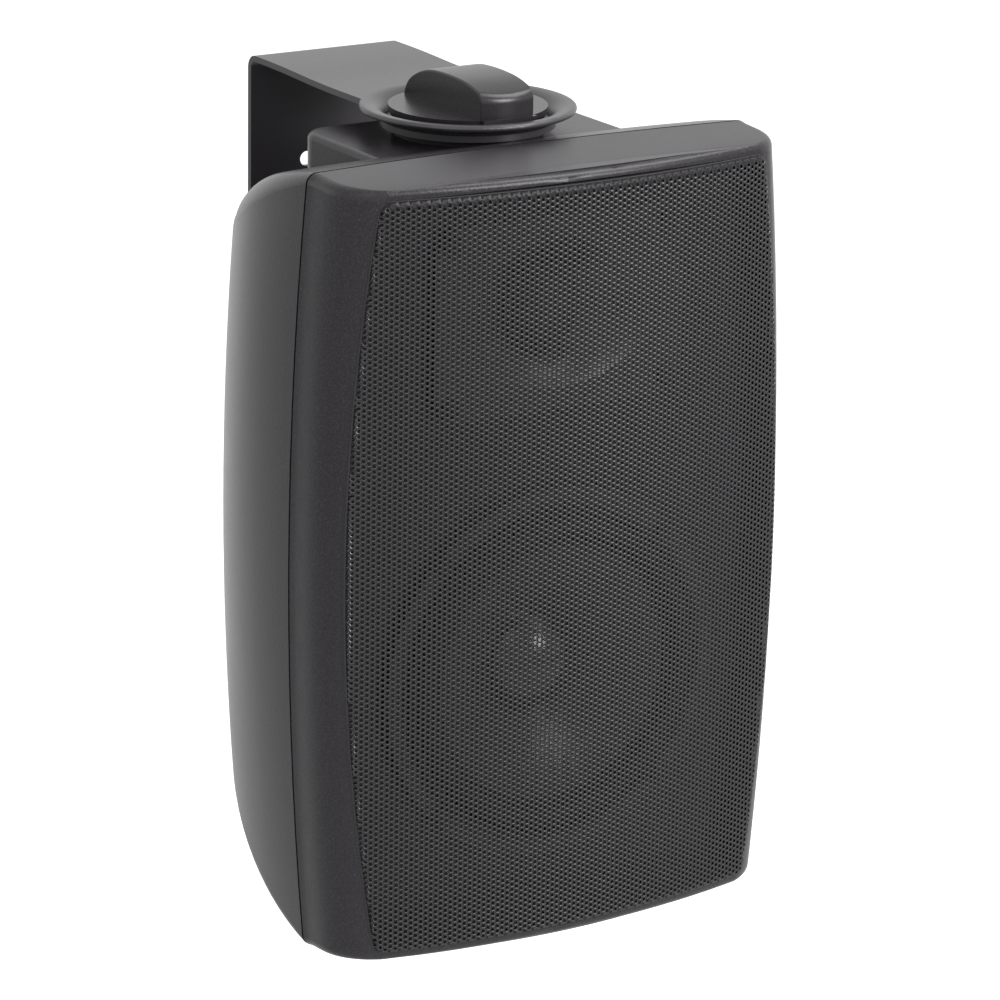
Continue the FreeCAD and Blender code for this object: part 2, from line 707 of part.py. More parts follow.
def build_rear():
    """Rear half of the cabinet with the bracket's landing, screw wells and the terminal opening."""
    outside = shell_loft("rear_form", 0, d.corner_radius, 0)
    plan = sketch_on(outside, "landing_plan", "XY_Plane", landing_height - d.landing_depth)
    half = d.landing_width / 2
    corner = d.landing_corner
    outline(plan, [
        (-half, d.landing_front), (half, d.landing_front), (half, d.landing_rear - corner, corner),
        (half - corner, d.landing_rear), (corner - half, d.landing_rear, corner),
        (-half, d.landing_rear - corner)])
    pad(outside, "landing_pad", plan, d.landing_depth)
    last = number(d.cabinet_depth) - TOUCH
    fillet(outside, "rear_edge", d.rear_round, lambda edge: edge.BoundBox.YMin > last)
    highest = number(landing_height) - TOUCH
    behind = number(d.pan_setback)
    fillet(outside, "landing_edges", d.landing_edge,
           lambda edge: highest < edge.BoundBox.ZMin and edge.BoundBox.ZMax < highest + TOUCH * 2
           and edge.BoundBox.YMax > behind)
    hollow = shell_loft("rear_hollow", d.wall, d.inner_corner, d.wall)
    core = new_body("landing_core")
    inside = sketch_on(core, "core_plan", "XY_Plane", landing_height - d.landing_depth * 2)
    thin = half - d.wall
    outline(inside, [
        (-thin, d.pan_setback - d.landing_corner * 2), (thin, d.pan_setback - d.landing_corner * 2),
        (thin, d.landing_rear - corner, corner - d.wall), (half - corner, d.landing_rear - d.wall),
        (corner - half, d.landing_rear - d.wall, corner - d.wall), (-thin, d.landing_rear - corner)])
    ring(inside, d.insert_radius + d.wall, 0, d.pan_setback)
    pad(core, "core_pad", inside, d.landing_depth * 2 - d.wall)
    bosses = pegs("rear_bosses", CASE_SPOTS, d.boss_radius, 0, d.cabinet_depth)
    posts = pegs("circuit_posts", raised(CIRCUIT_SPOTS, d.board_rise), d.standoff_radius,
                 d.cabinet_depth - d.wall - d.standoff, d.standoff + d.wall)
    space = joined("MultiFuse", "rear_space", hollow, core)
    clear = joined("Cut", "rear_clear", space, joined("MultiFuse", "rear_solid", bosses, posts))
    walls = joined("Cut", "rear_walls", outside, clear)
    wells = pegs("screw_wells", CASE_SPOTS, d.well_radius, d.well_floor, d.cabinet_depth)
    shanks = pegs("screw_ways", CASE_SPOTS, d.case_screw_radius + d.screw_clearance, 0, d.cabinet_depth)
    window = new_body("terminal_window")
    cut = sketch_on(window, "window_outline", "XZ_Plane", d.wall * 2 - d.cabinet_depth)
    box_outline(cut, d.cup_width / 2 + d.cup_clearance, d.cup_height / 2 + d.cup_clearance,
                v=-d.terminal_drop)
    pad(window, "window_pad", cut, d.wall * 3, reverse=True)
    pilot = d.driver_screw_radius + d.press_clearance
    panel_holes = pegs("panel_pilots", raised(TERMINAL_SPOTS, -d.terminal_drop), pilot,
                       d.cabinet_depth - d.terminal_screw_length, d.terminal_screw_length * 2)
    post_holes = pegs("post_pilots", raised(CIRCUIT_SPOTS, d.board_rise), pilot,
                      d.cabinet_depth - d.wall - d.standoff, d.standoff)
    bore = new_body("insert_bore")
    seat = ring(sketch_on(bore, "insert_ring", "XY_Plane", landing_height - d.insert_length),
                d.insert_radius + d.press_clearance, 0, d.pan_setback)
    pad(bore, "insert_pad", seat, d.insert_length * 2)
    face = ring(sketch_on(bore, "landing_face", "XY_Plane", landing_height),
                d.cup_radius + d.stud_clearance, 0, d.pan_setback)
    pad(bore, "face_cut", face, d.landing_drop * 2)
    holes = joined("MultiFuse", "rear_holes", wells, shanks, window, panel_holes, post_holes, bore)
    return node(joined("Cut", "rear_half", walls, holes), "rear_cabinet", CABINET)


def bow_cut(body, name, depth):
    """Trims the body's front to an upright drum with rounded ends, depth ahead of the parting line."""
    crest = d.cabinet_height / 2 + d.top_crown - d.side_draft * d.bezel_depth
    front, back = -d.bow_radius, d.front_round - d.bow_radius
    far, above = front - d.bezel_depth * 2, crest + d.bezel_depth
    low = crest - d.front_round
    profile = outline(sketch_on(body, name + "_profile", "YZ_Plane", shift=(d.bow_radius - depth, 0)), [
        (front, -low), (front, low, -d.front_round), (back, crest), (back, above), (far, above),
        (far, -above), (back, -above), (back, -crest, -d.front_round)])
    groove = body.newObject("PartDesign::Groove", name)
    groove.Profile = profile
    groove.ReferenceAxis = (profile, ["V_Axis"])


def front_outline(sketch, inset, corner):
    """The parting outline, moved in by inset."""
    barrel(sketch, d.cabinet_width / 2 - inset, d.side_bulge,
           d.cabinet_height / 2 - inset, d.top_crown, corner)
    return sketch


def opening_outline(sketch, inset):
    """The grille's opening, moved in by inset."""
    barrel(sketch, d.opening_width / 2 - inset, d.opening_bulge, d.opening_height / 2 - inset,
           d.top_crown, d.opening_corner - inset)
    return sketch


ROUND_ANGLES = (0, 20, 40, 60, 77)


def build_front():
    """Front half: bezel with rolled sides and a bowed face, baffle board, tongue and screw bosses."""
    body = new_body("front_form")
    start = d.parting_gap / 2
    sections = []
    forms = [(start, 0)]
    for angle in ROUND_ANGLES:
        turn = math.radians(angle)
        forms.append((d.side_straight + d.side_round * math.sin(turn), d.side_round * (1 - math.cos(turn))))
    for step, (ahead, roll) in enumerate(forms):
        sketch = sketch_on(body, f"bezel_{step}", "XZ_Plane", ahead)
        draft = d.side_draft * ahead
        barrel(sketch, d.cabinet_width / 2 - roll - draft, d.side_bulge,
               d.cabinet_height / 2 - draft, d.top_crown, d.corner_radius)
        sections.append(sketch)
    loft(body, "bezel_loft", sections)
    pad(body, "bezel_front", sections[-1], d.bezel_depth)
    bow_cut(body, "bezel_bow", d.bezel_depth)
    recess = opening_outline(sketch_on(body, "grille_recess", "XZ_Plane", d.board_front), 0)
    pocket(body, "recess_cut", recess, d.bezel_depth, reverse=True)
    rim = d.wall + d.tongue_clearance
    hollow = front_outline(sketch_on(body, "front_hollow", "XZ_Plane", start), rim + d.tongue, d.inner_corner)
    pocket(body, "hollow_cut", hollow, d.board_front - d.board_thickness - start, reverse=True)
    tongue = sketch_on(body, "tongue_rings", "XZ_Plane", start)
    front_outline(tongue, rim, d.inner_corner)
    front_outline(tongue, rim + d.tongue, d.inner_corner)
    pad(body, "tongue_pad", tongue, d.tongue_reach + start, reverse=True)
    bosses = sketch_on(body, "front_bosses", "XZ_Plane", start)
    for u, v in CASE_SPOTS:
        ring(bosses, d.front_boss_radius, u, v)
    pad(body, "boss_pad", bosses, d.board_front - d.board_thickness / 2 - start)
    pilots = sketch_on(body, "case_pilots", "XZ_Plane", 0)
    for u, v in CASE_SPOTS:
        ring(pilots, d.case_screw_radius + d.press_clearance, u, v)
    pocket(body, "pilot_cut", pilots, d.case_screw_length - d.well_floor + d.seat_gap, reverse=True)
    cutouts = sketch_on(body, "driver_cutouts", "XZ_Plane", 0)
    ring(cutouts, d.woofer_hole, 0, -d.woofer_drop)
    ring(cutouts, d.tweeter_hole, 0, d.tweeter_rise)
    pilot = d.driver_screw_radius + d.press_clearance
    diagonal = d.woofer_screw_circle * math.sqrt(0.5)
    for u, v in raised(four(diagonal, diagonal), -d.woofer_drop):
        ring(cutouts, pilot, u, v)
    for u, v in raised(four(d.tweeter_screw_x, d.tweeter_screw_z), d.tweeter_rise):
        ring(cutouts, pilot, u, v)
    pocket(body, "driver_cut", cutouts, d.bezel_depth, reverse=True)
    return node(body, "front_baffle", CABINET)


def build_gasket():
    """Seal between the two halves, set back from the outside so that the joint reads as a fine line."""
    body = new_body("seal")
    rings = sketch_on(body, "seal_rings", "XZ_Plane")
    front_outline(rings, d.shadow_gap, d.inner_corner)
    front_outline(rings, d.wall, d.inner_corner)
    pad(body, "seal_pad", rings, d.parting_gap, both=True)
    return node(body, "cabinet_gasket", CABINET)


def screw(name, radius, head, head_height, length, facing):
    """A pan-head screw along Y; facing is the side that its head is on."""
    bevel = head_height / 3
    return turned(name, [
        (0, -length * facing), (radius, (radius - length) * facing), (radius, 0), (head, 0),
        (head, (head_height - bevel) * facing), (head - bevel, head_height * facing),
        (0, head_height * facing)])


def build_case_screws():
    spots = {"corner": (d.corner_boss_x, d.corner_boss_z, (ACROSS, UP)),
             "side": (d.side_boss_x, 0, (ACROSS,))}
    groups = []
    for name, (x, z, normals) in spots.items():
        one = screw(name + "_screw", d.case_screw_radius, d.case_screw_head, d.case_screw_head_height,
                    d.case_screw_length, 1)
        place(one, x, d.well_floor, z)
        groups.append(mirrored_set(name + "_set", one, normals))
    whole = doc.addObject("Part::Compound", "case_set")
    whole.Links = groups
    return node(whole, "cabinet_screws", CABINET)


def bowed_block(name, inset, setback):
    """The grille's opening filled forward from the board to its bowed front, moved in by inset."""
    body = new_body(name)
    base = opening_outline(sketch_on(body, name + "_base", "XZ_Plane", d.board_front), inset)
    pad(body, name + "_pad", base, d.bezel_depth)
    bow_cut(body, name + "_bow", d.bezel_depth - setback)
    return body


def build_grille():
    """Bowed sheet with a skirt that seats on the board, and rows of six-sided holes."""
    outer = bowed_block("grille_outer", d.grille_gap, d.grille_recess)
    inner = bowed_block("grille_inner", d.grille_gap + d.grille_sheet, d.grille_recess + d.grille_sheet)
    tray = joined("Cut", "grille_tray", outer, inner)
    column = d.hole_pitch * math.sqrt(0.75)
    first_u = (d.hole_columns - 0.5) * column
    first_v = (d.hole_rows - 0.5) * d.hole_pitch / 2
    punch = new_body("punch")
    punch.AllowCompound = True
    sketch = sketch_on(punch, "punch_outline", "XZ_Plane", d.board_front)
    corner = d.hole_flats / math.sqrt(3)
    for step in range(2):
        u = column * step - first_u
        v = d.hole_pitch * step / 2 - first_v
        outline(sketch, [
            (u + corner, v), (u + corner / 2, v + d.hole_flats / 2), (u - corner / 2, v + d.hole_flats / 2),
            (u - corner, v), (u - corner / 2, v - d.hole_flats / 2), (u + corner / 2, v - d.hole_flats / 2)])
    stamp = pad(punch, "punch_pad", sketch, d.bezel_depth)
    rows = pattern(punch, "punch_rows", "Z_Axis", d.hole_pitch, d.hole_rows)
    columns = pattern(punch, "punch_columns", "X_Axis", column * 2, d.hole_columns)
    grid = punch.newObject("PartDesign::MultiTransform", "punch_grid")
    grid.Originals = [stamp]
    grid.Transformations = [rows, columns]
    punch.Tip = grid
    return node(joined("Cut", "grille_sheet", tray, punch), "grille", CABINET)


def pattern(body, name, axis, step, count):
    """A row of copies along one of the body's own axes."""
    feature = body.newObject("PartDesign::LinearPattern", name)
    feature.Direction = ([item for item in body.Origin.OriginFeatures if item.Role == axis][0], [""])
    feature.Mode = "Spacing"
    bind(feature, "Offset", step)
    bind(feature, "Occurrences", count)
    return feature


def build_woofer():
    """Five-inch class driver, every turned piece about its own axis, the board's front face at zero."""
    front = -d.flange_thickness
    wall = d.basket_wall
    throat = d.woofer_hole - d.basket_clearance
    basket = turned("basket_turned", [
        (d.surround_outer - wall * 3, front), (d.flange_radius, front), (d.flange_radius, 0), (throat, 0),
        (d.ledge_outer, d.ledge_depth), (d.ledge_inner, d.ledge_depth),
        (d.ledge_inner, d.basket_depth), (d.magnet_bore, d.basket_depth),
        (d.magnet_bore, d.basket_depth - wall), (d.ledge_inner - wall, d.basket_depth - wall),
        (d.ledge_inner - wall, d.ledge_depth - wall), (d.ledge_outer - wall, d.ledge_depth - wall),
        (throat - wall * 2, wall + front), (d.surround_outer - wall * 3, wall + front)])
    windows = sketch_on(basket, "basket_window", "XZ_Plane")
    swing = math.radians(number(d.window_angle) / 2)
    across, along = math.sin(swing), math.cos(swing)
    outline(windows, [
        (d.window_outer * across, d.window_outer * along, d.window_outer),
        (-d.window_outer * across, d.window_outer * along),
        (-d.window_inner * across, d.window_inner * along, -d.window_inner),
        (d.window_inner * across, d.window_inner * along)])
    opening = pocket(basket, "window_cut", windows, d.basket_depth)
    around = basket.newObject("PartDesign::PolarPattern", "window_ring")
    around.Axis = ([item for item in basket.Origin.OriginFeatures if item.Role == "Y_Axis"][0], [""])
    around.Occurrences = WINDOWS
    around.Originals = [opening]
    basket.Tip = around
    holes = sketch_on(basket, "flange_holes", "XZ_Plane")
    diagonal = d.woofer_screw_circle * math.sqrt(0.5)
    for u, v in four(diagonal, diagonal):
        ring(holes, d.driver_screw_radius + d.screw_clearance, u, v)
    pocket(basket, "flange_hole_cut", holes, d.flange_thickness * 2, both=True)
    node(basket, "woofer_basket", WOOFER)

    skin = d.surround_thickness
    land = front - skin
    middle = (d.roll_outer + d.roll_inner) / 2
    roll = (d.roll_outer - d.roll_inner) / 2
    surround = turned("surround_turned", [
        (d.roll_inner - d.cone_land, front), (d.roll_inner - d.cone_land, land),
        (d.roll_inner, land, roll), (middle, land - roll, roll), (d.roll_outer, land),
        (d.surround_outer, land), (d.surround_outer, front),
        (d.roll_outer - skin, front, skin - roll), (middle, front + skin - roll, skin - roll),
        (d.roll_inner + skin, front)])
    node(surround, "woofer_surround", WOOFER)
    node(washer("trim_turned", d.trim_inner, d.surround_outer, land - d.trim_thickness, land, "XY_Plane"),
         "woofer_gasket", WOOFER)

    paper = d.cone_thickness
    edge = front + paper
    neck = front + d.cone_depth
    cone = turned("cone_turned", [
        (d.roll_inner, front), (d.roll_inner, edge), (d.roll_inner - d.cone_land, edge, -d.cone_curve),
        (d.coil_radius, neck + paper), (d.coil_radius, neck, d.cone_curve),
        (d.roll_inner - d.cone_land, front)])
    node(cone, "woofer_cone", WOOFER)

    rise = d.cap_sphere - root(d.cap_sphere ** 2 - d.cap_radius ** 2)
    shell = d.cap_sphere - d.cap_thickness
    foot = root(shell ** 2 - (d.cap_sphere - rise) ** 2)
    seat = neck - d.cap_lift
    cap = turned("cap_turned", [
        (0, seat - rise, d.cap_sphere), (d.cap_radius, seat), (foot, seat, -shell),
        (0, seat - rise + d.cap_thickness)])
    node(cap, "woofer_dust_cap", WOOFER)

    former = d.coil_radius - d.former_thickness
    winding = d.coil_radius + d.winding_thickness
    start = d.coil_reach - d.winding_height
    coil = turned("coil_turned", [
        (former, neck - paper), (d.coil_radius - d.press_clearance, neck - paper),
        (d.coil_radius - d.press_clearance, start), (winding, start), (winding, d.coil_reach),
        (former, d.coil_reach)])
    node(coil, "voice_coil", WOOFER)

    ledge = d.ledge_depth - d.basket_wall
    node(spider(ledge), "woofer_spider", WOOFER)

    plate_end = d.basket_depth + d.plate_thickness
    node(washer("plate_turned", winding + d.coil_gap, d.plate_radius, d.basket_depth, plate_end, "XY_Plane"),
         "woofer_top_plate", WOOFER)
    magnet_end = plate_end + d.magnet_thickness
    node(washer("magnet_turned", d.magnet_bore, d.magnet_radius, plate_end, magnet_end, "XY_Plane"),
         "woofer_magnet", WOOFER)
    pole = former - d.coil_gap
    yoke = turned("yoke_turned", [
        (0, d.basket_depth), (pole, d.basket_depth), (pole, magnet_end), (d.plate_radius, magnet_end),
        (d.plate_radius, magnet_end + d.yoke_thickness), (0, magnet_end + d.yoke_thickness)])
    node(yoke, "woofer_yoke", WOOFER)

    one = screw("woofer_screw", d.driver_screw_radius, d.driver_screw_head, d.driver_screw_head_height,
                d.driver_screw_length, -1)
    place(one, diagonal, front, diagonal)
    node(mirrored_set("woofer_set", one, (ACROSS, UP)), "woofer_screws", WOOFER)


WINDOWS = 6
SPIDER_WAVES = 4


def spider(ledge):
    """Corrugated centring disc between the coil and the basket's ledge."""
    half = d.spider_thickness / 2
    middle = ledge - half
    inner = d.coil_radius + d.press_clearance
    outer = d.ledge_inner - d.basket_wall - d.press_clearance
    step = (outer - inner) / (SPIDER_WAVES * 2)
    crest = d.spider_height / 2
    far_side, near_side = [], []
    for wave in range(SPIDER_WAVES * 2):
        lift = crest if wave % 2 else -crest
        radius = inner + step * (wave + 0.5)
        far_side.append((radius, middle + lift + half))
        near_side.append((radius, middle + lift - half))
    land = d.ledge_outer - d.basket_wall - d.press_clearance
    far_side = [(inner, ledge)] + far_side + [(outer, ledge), (land, ledge)]
    near_side = ([(inner, ledge - half * 2)] + near_side
                 + [(outer, ledge - half * 2), (land, ledge - half * 2)])
    return turned("spider_turned", far_side + near_side[::-1])


def build_tweeter():
    """Dome tweeter behind a wide flared faceplate, the board's front face at zero."""
    front = -d.face_thickness
    body = new_body("faceplate")
    face = sketch_on(body, "face_outline", "XZ_Plane")
    box_outline(face, d.plate_half_width, d.plate_half_height, d.plate_corner)
    pad(body, "face_pad", face, d.face_thickness)
    neck = ring(sketch_on(body, "neck_outline", "XZ_Plane"), d.neck_radius)
    pad(body, "neck_pad", neck, d.throat_depth, reverse=True)
    mouth = ellipse(sketch_on(body, "horn_mouth", "XZ_Plane", d.face_thickness),
                    d.horn_half_width, d.horn_half_height)
    middle = ellipse(sketch_on(body, "horn_middle", "XZ_Plane"),
                     (d.horn_half_width + d.throat_radius) / 2, (d.horn_half_height + d.throat_radius) / 2)
    throat = ellipse(sketch_on(body, "horn_throat", "XZ_Plane", -d.throat_depth),
                     d.throat_radius + d.press_clearance, d.throat_radius)
    loft(body, "horn_cut", [mouth, middle, throat], "Subtractive")
    holes = sketch_on(body, "face_holes", "XZ_Plane")
    for u, v in four(d.tweeter_screw_x, d.tweeter_screw_z):
        ring(holes, d.driver_screw_radius + d.screw_clearance, u, v)
    pocket(body, "face_hole_cut", holes, d.face_thickness * 2, both=True)
    node(body, "tweeter_faceplate", TWEETER)

    back = d.throat_depth + d.dome_rim_thickness
    skin = d.dome_thickness
    shell = d.dome_sphere - skin
    rise = d.dome_sphere - root(d.dome_sphere ** 2 - d.dome_radius ** 2)
    foot = root(shell ** 2 - (d.dome_sphere - rise) ** 2)
    dome = turned("dome_turned", [
        (0, d.throat_depth - rise, d.dome_sphere), (d.dome_radius, d.throat_depth),
        (d.dome_rim, d.throat_depth), (d.dome_rim, back), (d.dome_radius - skin, back),
        (foot, d.throat_depth, -shell), (0, d.throat_depth - rise + skin)])
    node(dome, "tweeter_dome", TWEETER)

    wire = d.dome_radius - skin
    node(washer("tweeter_coil_turned", wire - d.winding_thickness, wire, back + d.press_clearance,
                back + d.tweeter_coil_height, "XY_Plane"), "tweeter_coil", TWEETER)
    plate_end = back + d.tweeter_plate_thickness
    node(washer("tweeter_plate_turned", wire + d.coil_gap, d.tweeter_plate_radius, back, plate_end, "XY_Plane"),
         "tweeter_top_plate", TWEETER)
    magnet_end = plate_end + d.tweeter_magnet_thickness
    node(washer("tweeter_magnet_turned", d.tweeter_magnet_bore, d.tweeter_plate_radius, plate_end, magnet_end,
                "XY_Plane"), "tweeter_magnet", TWEETER)
    pole = wire - d.winding_thickness - d.coil_gap
    yoke_end = magnet_end + d.tweeter_yoke_thickness
    yoke = turned("tweeter_yoke_turned", [
        (0, back), (pole, back), (pole, magnet_end), (d.tweeter_plate_radius, magnet_end),
        (d.tweeter_plate_radius, yoke_end), (0, yoke_end)])
    node(yoke, "tweeter_yoke", TWEETER)

    one = screw("tweeter_screw", d.driver_screw_radius, d.driver_screw_head, d.driver_screw_head_height,
                d.driver_screw_length, -1)
    place(one, d.tweeter_screw_x, front, d.tweeter_screw_z)
    node(mirrored_set("tweeter_set", one, (ACROSS, UP)), "tweeter_screws", TWEETER)


def ellipse(sketch, half_u, half_v):
    """An ellipse about the sketch's origin, drawn wide."""
    shape = Part.Ellipse(flat(half_u, 0), flat(0, half_v), flat(0, 0))
    geometry = sketch.addGeometry(shape)
    sketch.exposeInternalGeometry(geometry)
    major, minor = geometry + 1, geometry + 2
    hold(sketch, "Coincident", geometry, 3, -1, 1)
    hold(sketch, "Horizontal", major)
    hold(sketch, "Distance", major, size=half_u * 2)
    hold(sketch, "Distance", minor, size=half_v * 2)
    return sketch


PIVOT_Z = d.cup_wall - d.cup_height / 2 + d.block_height + d.lever_gap + d.lever_thickness / 2
PIVOT_Y = d.lever_gap * 4 + d.cup_wall + d.lever_thickness - d.cup_depth


def build_terminals():
    """Push terminals in a cup on the rear face; the rear face is at zero and outward is positive."""
    body = new_body("panel")
    plate = sketch_on(body, "panel_plate", "XZ_Plane")
    box_outline(plate, d.cup_width / 2 + d.cup_flange, d.cup_height / 2 + d.cup_flange, d.cup_flange)
    pad(body, "plate_pad", plate, d.flange_plate, reverse=True)
    tub = box_outline(sketch_on(body, "panel_tub", "XZ_Plane"), d.cup_width / 2, d.cup_height / 2)
    pad(body, "tub_pad", tub, d.cup_depth)
    half_width, half_height = d.cup_width / 2 - d.cup_wall, d.cup_height / 2 - d.cup_wall
    inner_sketch = sketch_on(body, "panel_inside", "XZ_Plane", -d.flange_plate)
    inside = box_outline(inner_sketch, half_width, half_height)
    pocket(body, "inside_cut", inside, d.flange_plate + d.cup_depth - d.cup_wall, reverse=True)
    block_z = d.block_height / 2 - half_height
    block = box_outline(sketch_on(body, "panel_block", "XZ_Plane", d.block_setback), half_width,
                        d.block_height / 2, v=block_z)
    pad(body, "block_pad", block, d.cup_depth - d.block_setback - d.cup_wall / 2)
    holes = sketch_on(body, "wire_holes", "XZ_Plane", d.block_setback)
    for side in (-1, 1):
        ring(holes, d.wire_hole, d.lever_spacing * side / 2, block_z)
    pocket(body, "wire_cut", holes, d.cup_depth - d.block_setback - d.cup_wall, reverse=True)
    screws = sketch_on(body, "panel_screw_holes", "XZ_Plane")
    for u, v in TERMINAL_SPOTS:
        ring(screws, d.driver_screw_radius + d.screw_clearance, u, v)
    pocket(body, "panel_hole_cut", screws, d.flange_plate * 3, both=True)
    node(body, "terminal_panel", TERMINAL)

    for side, colour in ((-1, "red"), (1, "black")):
        node(lever(colour), f"terminal_lever_{colour}",
             (TERMINAL[0] + d.lever_spacing * side / 2, TERMINAL[1] + PIVOT_Y, TERMINAL[2] + PIVOT_Z))

    rod = new_body("rod")
    section = ring(sketch_on(rod, "rod_section", "YZ_Plane"), d.pin_radius)
    pad(rod, "rod_pad", section, (half_width - d.press_clearance) * 2, both=True)
    node(rod, "lever_pin", (TERMINAL[0], TERMINAL[1] + PIVOT_Y, TERMINAL[2] + PIVOT_Z))

    tab = doc.addObject("Part::Box", "tab")
    for path, size in (("Length", d.tab_width), ("Width", d.tab_length), ("Height", d.tab_thickness)):
        bind(tab, path, size)
    place(tab, (d.lever_spacing - d.tab_width) / 2, -d.cup_depth - d.tab_length, block_z)
    node(mirrored_set("tab_set", tab, (ACROSS,)), "terminal_contacts", TERMINAL)

    one = screw("panel_screw", d.driver_screw_radius, d.cup_flange / 2 - d.screw_clearance,
                d.driver_screw_head_height, d.terminal_screw_length, 1)
    place(one, TERMINAL_SPOTS[2][0], d.flange_plate, TERMINAL_SPOTS[2][1])
    node(mirrored_set("panel_set", one, (ACROSS, UP)), "terminal_screws", TERMINAL)


def lever(colour):
    """A finger lever that turns on a pin through its rounded foot."""
    body = new_body("lever_" + colour)
    half = d.lever_thickness / 2
    top = d.lever_height - half
    profile = outline(sketch_on(body, colour + "_profile", "YZ_Plane"), [
        (-half, 0, half), (0, -half, half), (half, 0), (half, top - d.lever_thickness),
        (d.lever_thickness, top), (-half, top)])
    pad(body, colour + "_pad", profile, d.lever_width, both=True)
    hole = ring(sketch_on(body, colour + "_hole", "YZ_Plane"), d.pin_radius + d.pin_clearance)
    pocket(body, colour + "_bore", hole, d.lever_width * 2, both=True)
    return body


def build_circuit():
    """Two-way crossover board on posts inside the rear wall; its rear face is at zero."""
    body = new_body("circuit")
    plate = sketch_on(body, "circuit_outline", "XZ_Plane")
    box_outline(plate, d.board_width / 2, d.board_height / 2)
    for u, v in CIRCUIT_SPOTS:
        ring(plate, d.driver_screw_radius + d.screw_clearance, u, v)
    pad(body, "circuit_pad", plate, d.circuit_thickness)
    node(body, "crossover_board", CIRCUIT)

    face = -d.circuit_thickness
    left = d.inductor_radius + d.part_gap - d.board_width / 2 + d.board_inset
    coil = washer("inductor_turned", d.inductor_bore, d.inductor_radius, face - d.inductor_height, face,
                  "XY_Plane")
    node(coil, "crossover_inductor", (CIRCUIT[0] + left, CIRCUIT[1], CIRCUIT[2]))

    right = left + d.inductor_radius + d.part_gap
    can = new_body("can")
    round_end = ring(sketch_on(can, "can_section", "YZ_Plane"), d.capacitor_radius)
    pad(can, "can_pad", round_end, d.capacitor_length)
    rest = face - d.capacitor_radius - d.press_clearance
    node(can, "crossover_capacitor",
         (CIRCUIT[0] + right, CIRCUIT[1] + rest, CIRCUIT[2] + d.capacitor_radius))

    block = doc.addObject("Part::Box", "ceramic")
    edges = (("Length", d.resistor_length), ("Width", d.resistor_width), ("Height", d.resistor_width))
    for path, size in edges:
        bind(block, path, size)
    node(block, "crossover_resistor",
         (CIRCUIT[0] + right, CIRCUIT[1] + face - d.resistor_width,
          CIRCUIT[2] - d.resistor_width - d.part_gap))

    one = screw("circuit_screw", d.driver_screw_radius, d.driver_screw_head, d.driver_screw_head_height,
                d.board_screw_length, -1)
    place(one, CIRCUIT_SPOTS[2][0], face, CIRCUIT_SPOTS[2][1])
    node(mirrored_set("circuit_set", one, (ACROSS, UP)), "board_screws", CIRCUIT)


def check(things):
    """Stops before anything is written if a feature failed or a piece is not a sound solid."""
    for thing in doc.Objects:
        if {"Invalid", "Error"} & set(thing.State):
            raise RuntimeError(f"{thing.Name} failed: {thing.State}")
    for thing in things:
        if thing.Shape.isNull() or not thing.Shape.isValid() or not thing.Shape.Solids:
            raise RuntimeError(f"{thing.Label} is not a sound solid")


for build in (build_bracket, build_knob, build_pan_stack, build_rear, build_front, build_gasket,
              build_case_screws, build_grille, build_woofer, build_tweeter, build_terminals, build_circuit):
    build()
doc.recompute()
check(nodes)
os.makedirs("parts", exist_ok=True)
for piece in nodes:
    piece.Shape.exportStep(f"parts/{piece.Label}.step")
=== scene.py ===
import math

import bmesh
import bpy
from mathutils import Matrix, Vector
from mathutils.kdtree import KDTree


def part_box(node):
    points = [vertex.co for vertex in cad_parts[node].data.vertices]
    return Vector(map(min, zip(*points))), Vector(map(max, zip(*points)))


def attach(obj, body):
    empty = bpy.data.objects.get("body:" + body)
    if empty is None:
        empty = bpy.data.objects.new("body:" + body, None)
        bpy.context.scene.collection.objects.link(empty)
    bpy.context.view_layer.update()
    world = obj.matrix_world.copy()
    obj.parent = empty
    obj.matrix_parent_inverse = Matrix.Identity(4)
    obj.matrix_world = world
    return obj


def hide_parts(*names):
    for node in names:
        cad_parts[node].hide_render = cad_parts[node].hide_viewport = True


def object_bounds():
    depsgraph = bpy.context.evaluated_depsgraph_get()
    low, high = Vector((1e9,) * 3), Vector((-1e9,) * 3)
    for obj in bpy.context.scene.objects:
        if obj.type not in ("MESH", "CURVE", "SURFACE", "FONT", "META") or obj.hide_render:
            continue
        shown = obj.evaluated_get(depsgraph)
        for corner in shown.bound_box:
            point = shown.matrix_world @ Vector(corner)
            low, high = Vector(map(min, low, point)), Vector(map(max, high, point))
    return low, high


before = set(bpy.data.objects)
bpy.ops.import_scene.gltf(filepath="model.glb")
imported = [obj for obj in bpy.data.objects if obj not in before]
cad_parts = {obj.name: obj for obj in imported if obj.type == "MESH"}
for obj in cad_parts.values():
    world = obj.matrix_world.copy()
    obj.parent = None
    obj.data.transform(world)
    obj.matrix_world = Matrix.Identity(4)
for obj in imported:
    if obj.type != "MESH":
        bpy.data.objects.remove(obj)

bl_info = {
    "name": "Wall speaker finish",
    "version": (1, 0, 0),
    "blender": (4, 5, 0),
    "location": "View3D > Sidebar > Wall speaker",
    "description": "Gives a wall speaker its perforated grille, moulded grain and painted steel",
    "category": "Object",
}

MM = 0.001
EDGE_STEPS = 8  # points of the grille's outline to a hole pitch, and to a corner's radius
FLOOR_SIZE = 12  # metres
CAD_BOX = [list(corner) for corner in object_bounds()]


def length(name, description, millimetres):
    """A length, with its default in millimetres."""
    return bpy.props.FloatProperty(name=name, description=description, default=millimetres * MM,
                                   unit="LENGTH", precision=5)


def share(name, description, value):
    """A number from 0 to 1."""
    return bpy.props.FloatProperty(name=name, description=description, default=value,
                                   min=0, max=1, subtype="FACTOR")


def angle(name, description, degrees):
    """An angle, with its default in degrees."""
    return bpy.props.FloatProperty(name=name, description=description,
                                   default=math.radians(degrees), subtype="ANGLE")


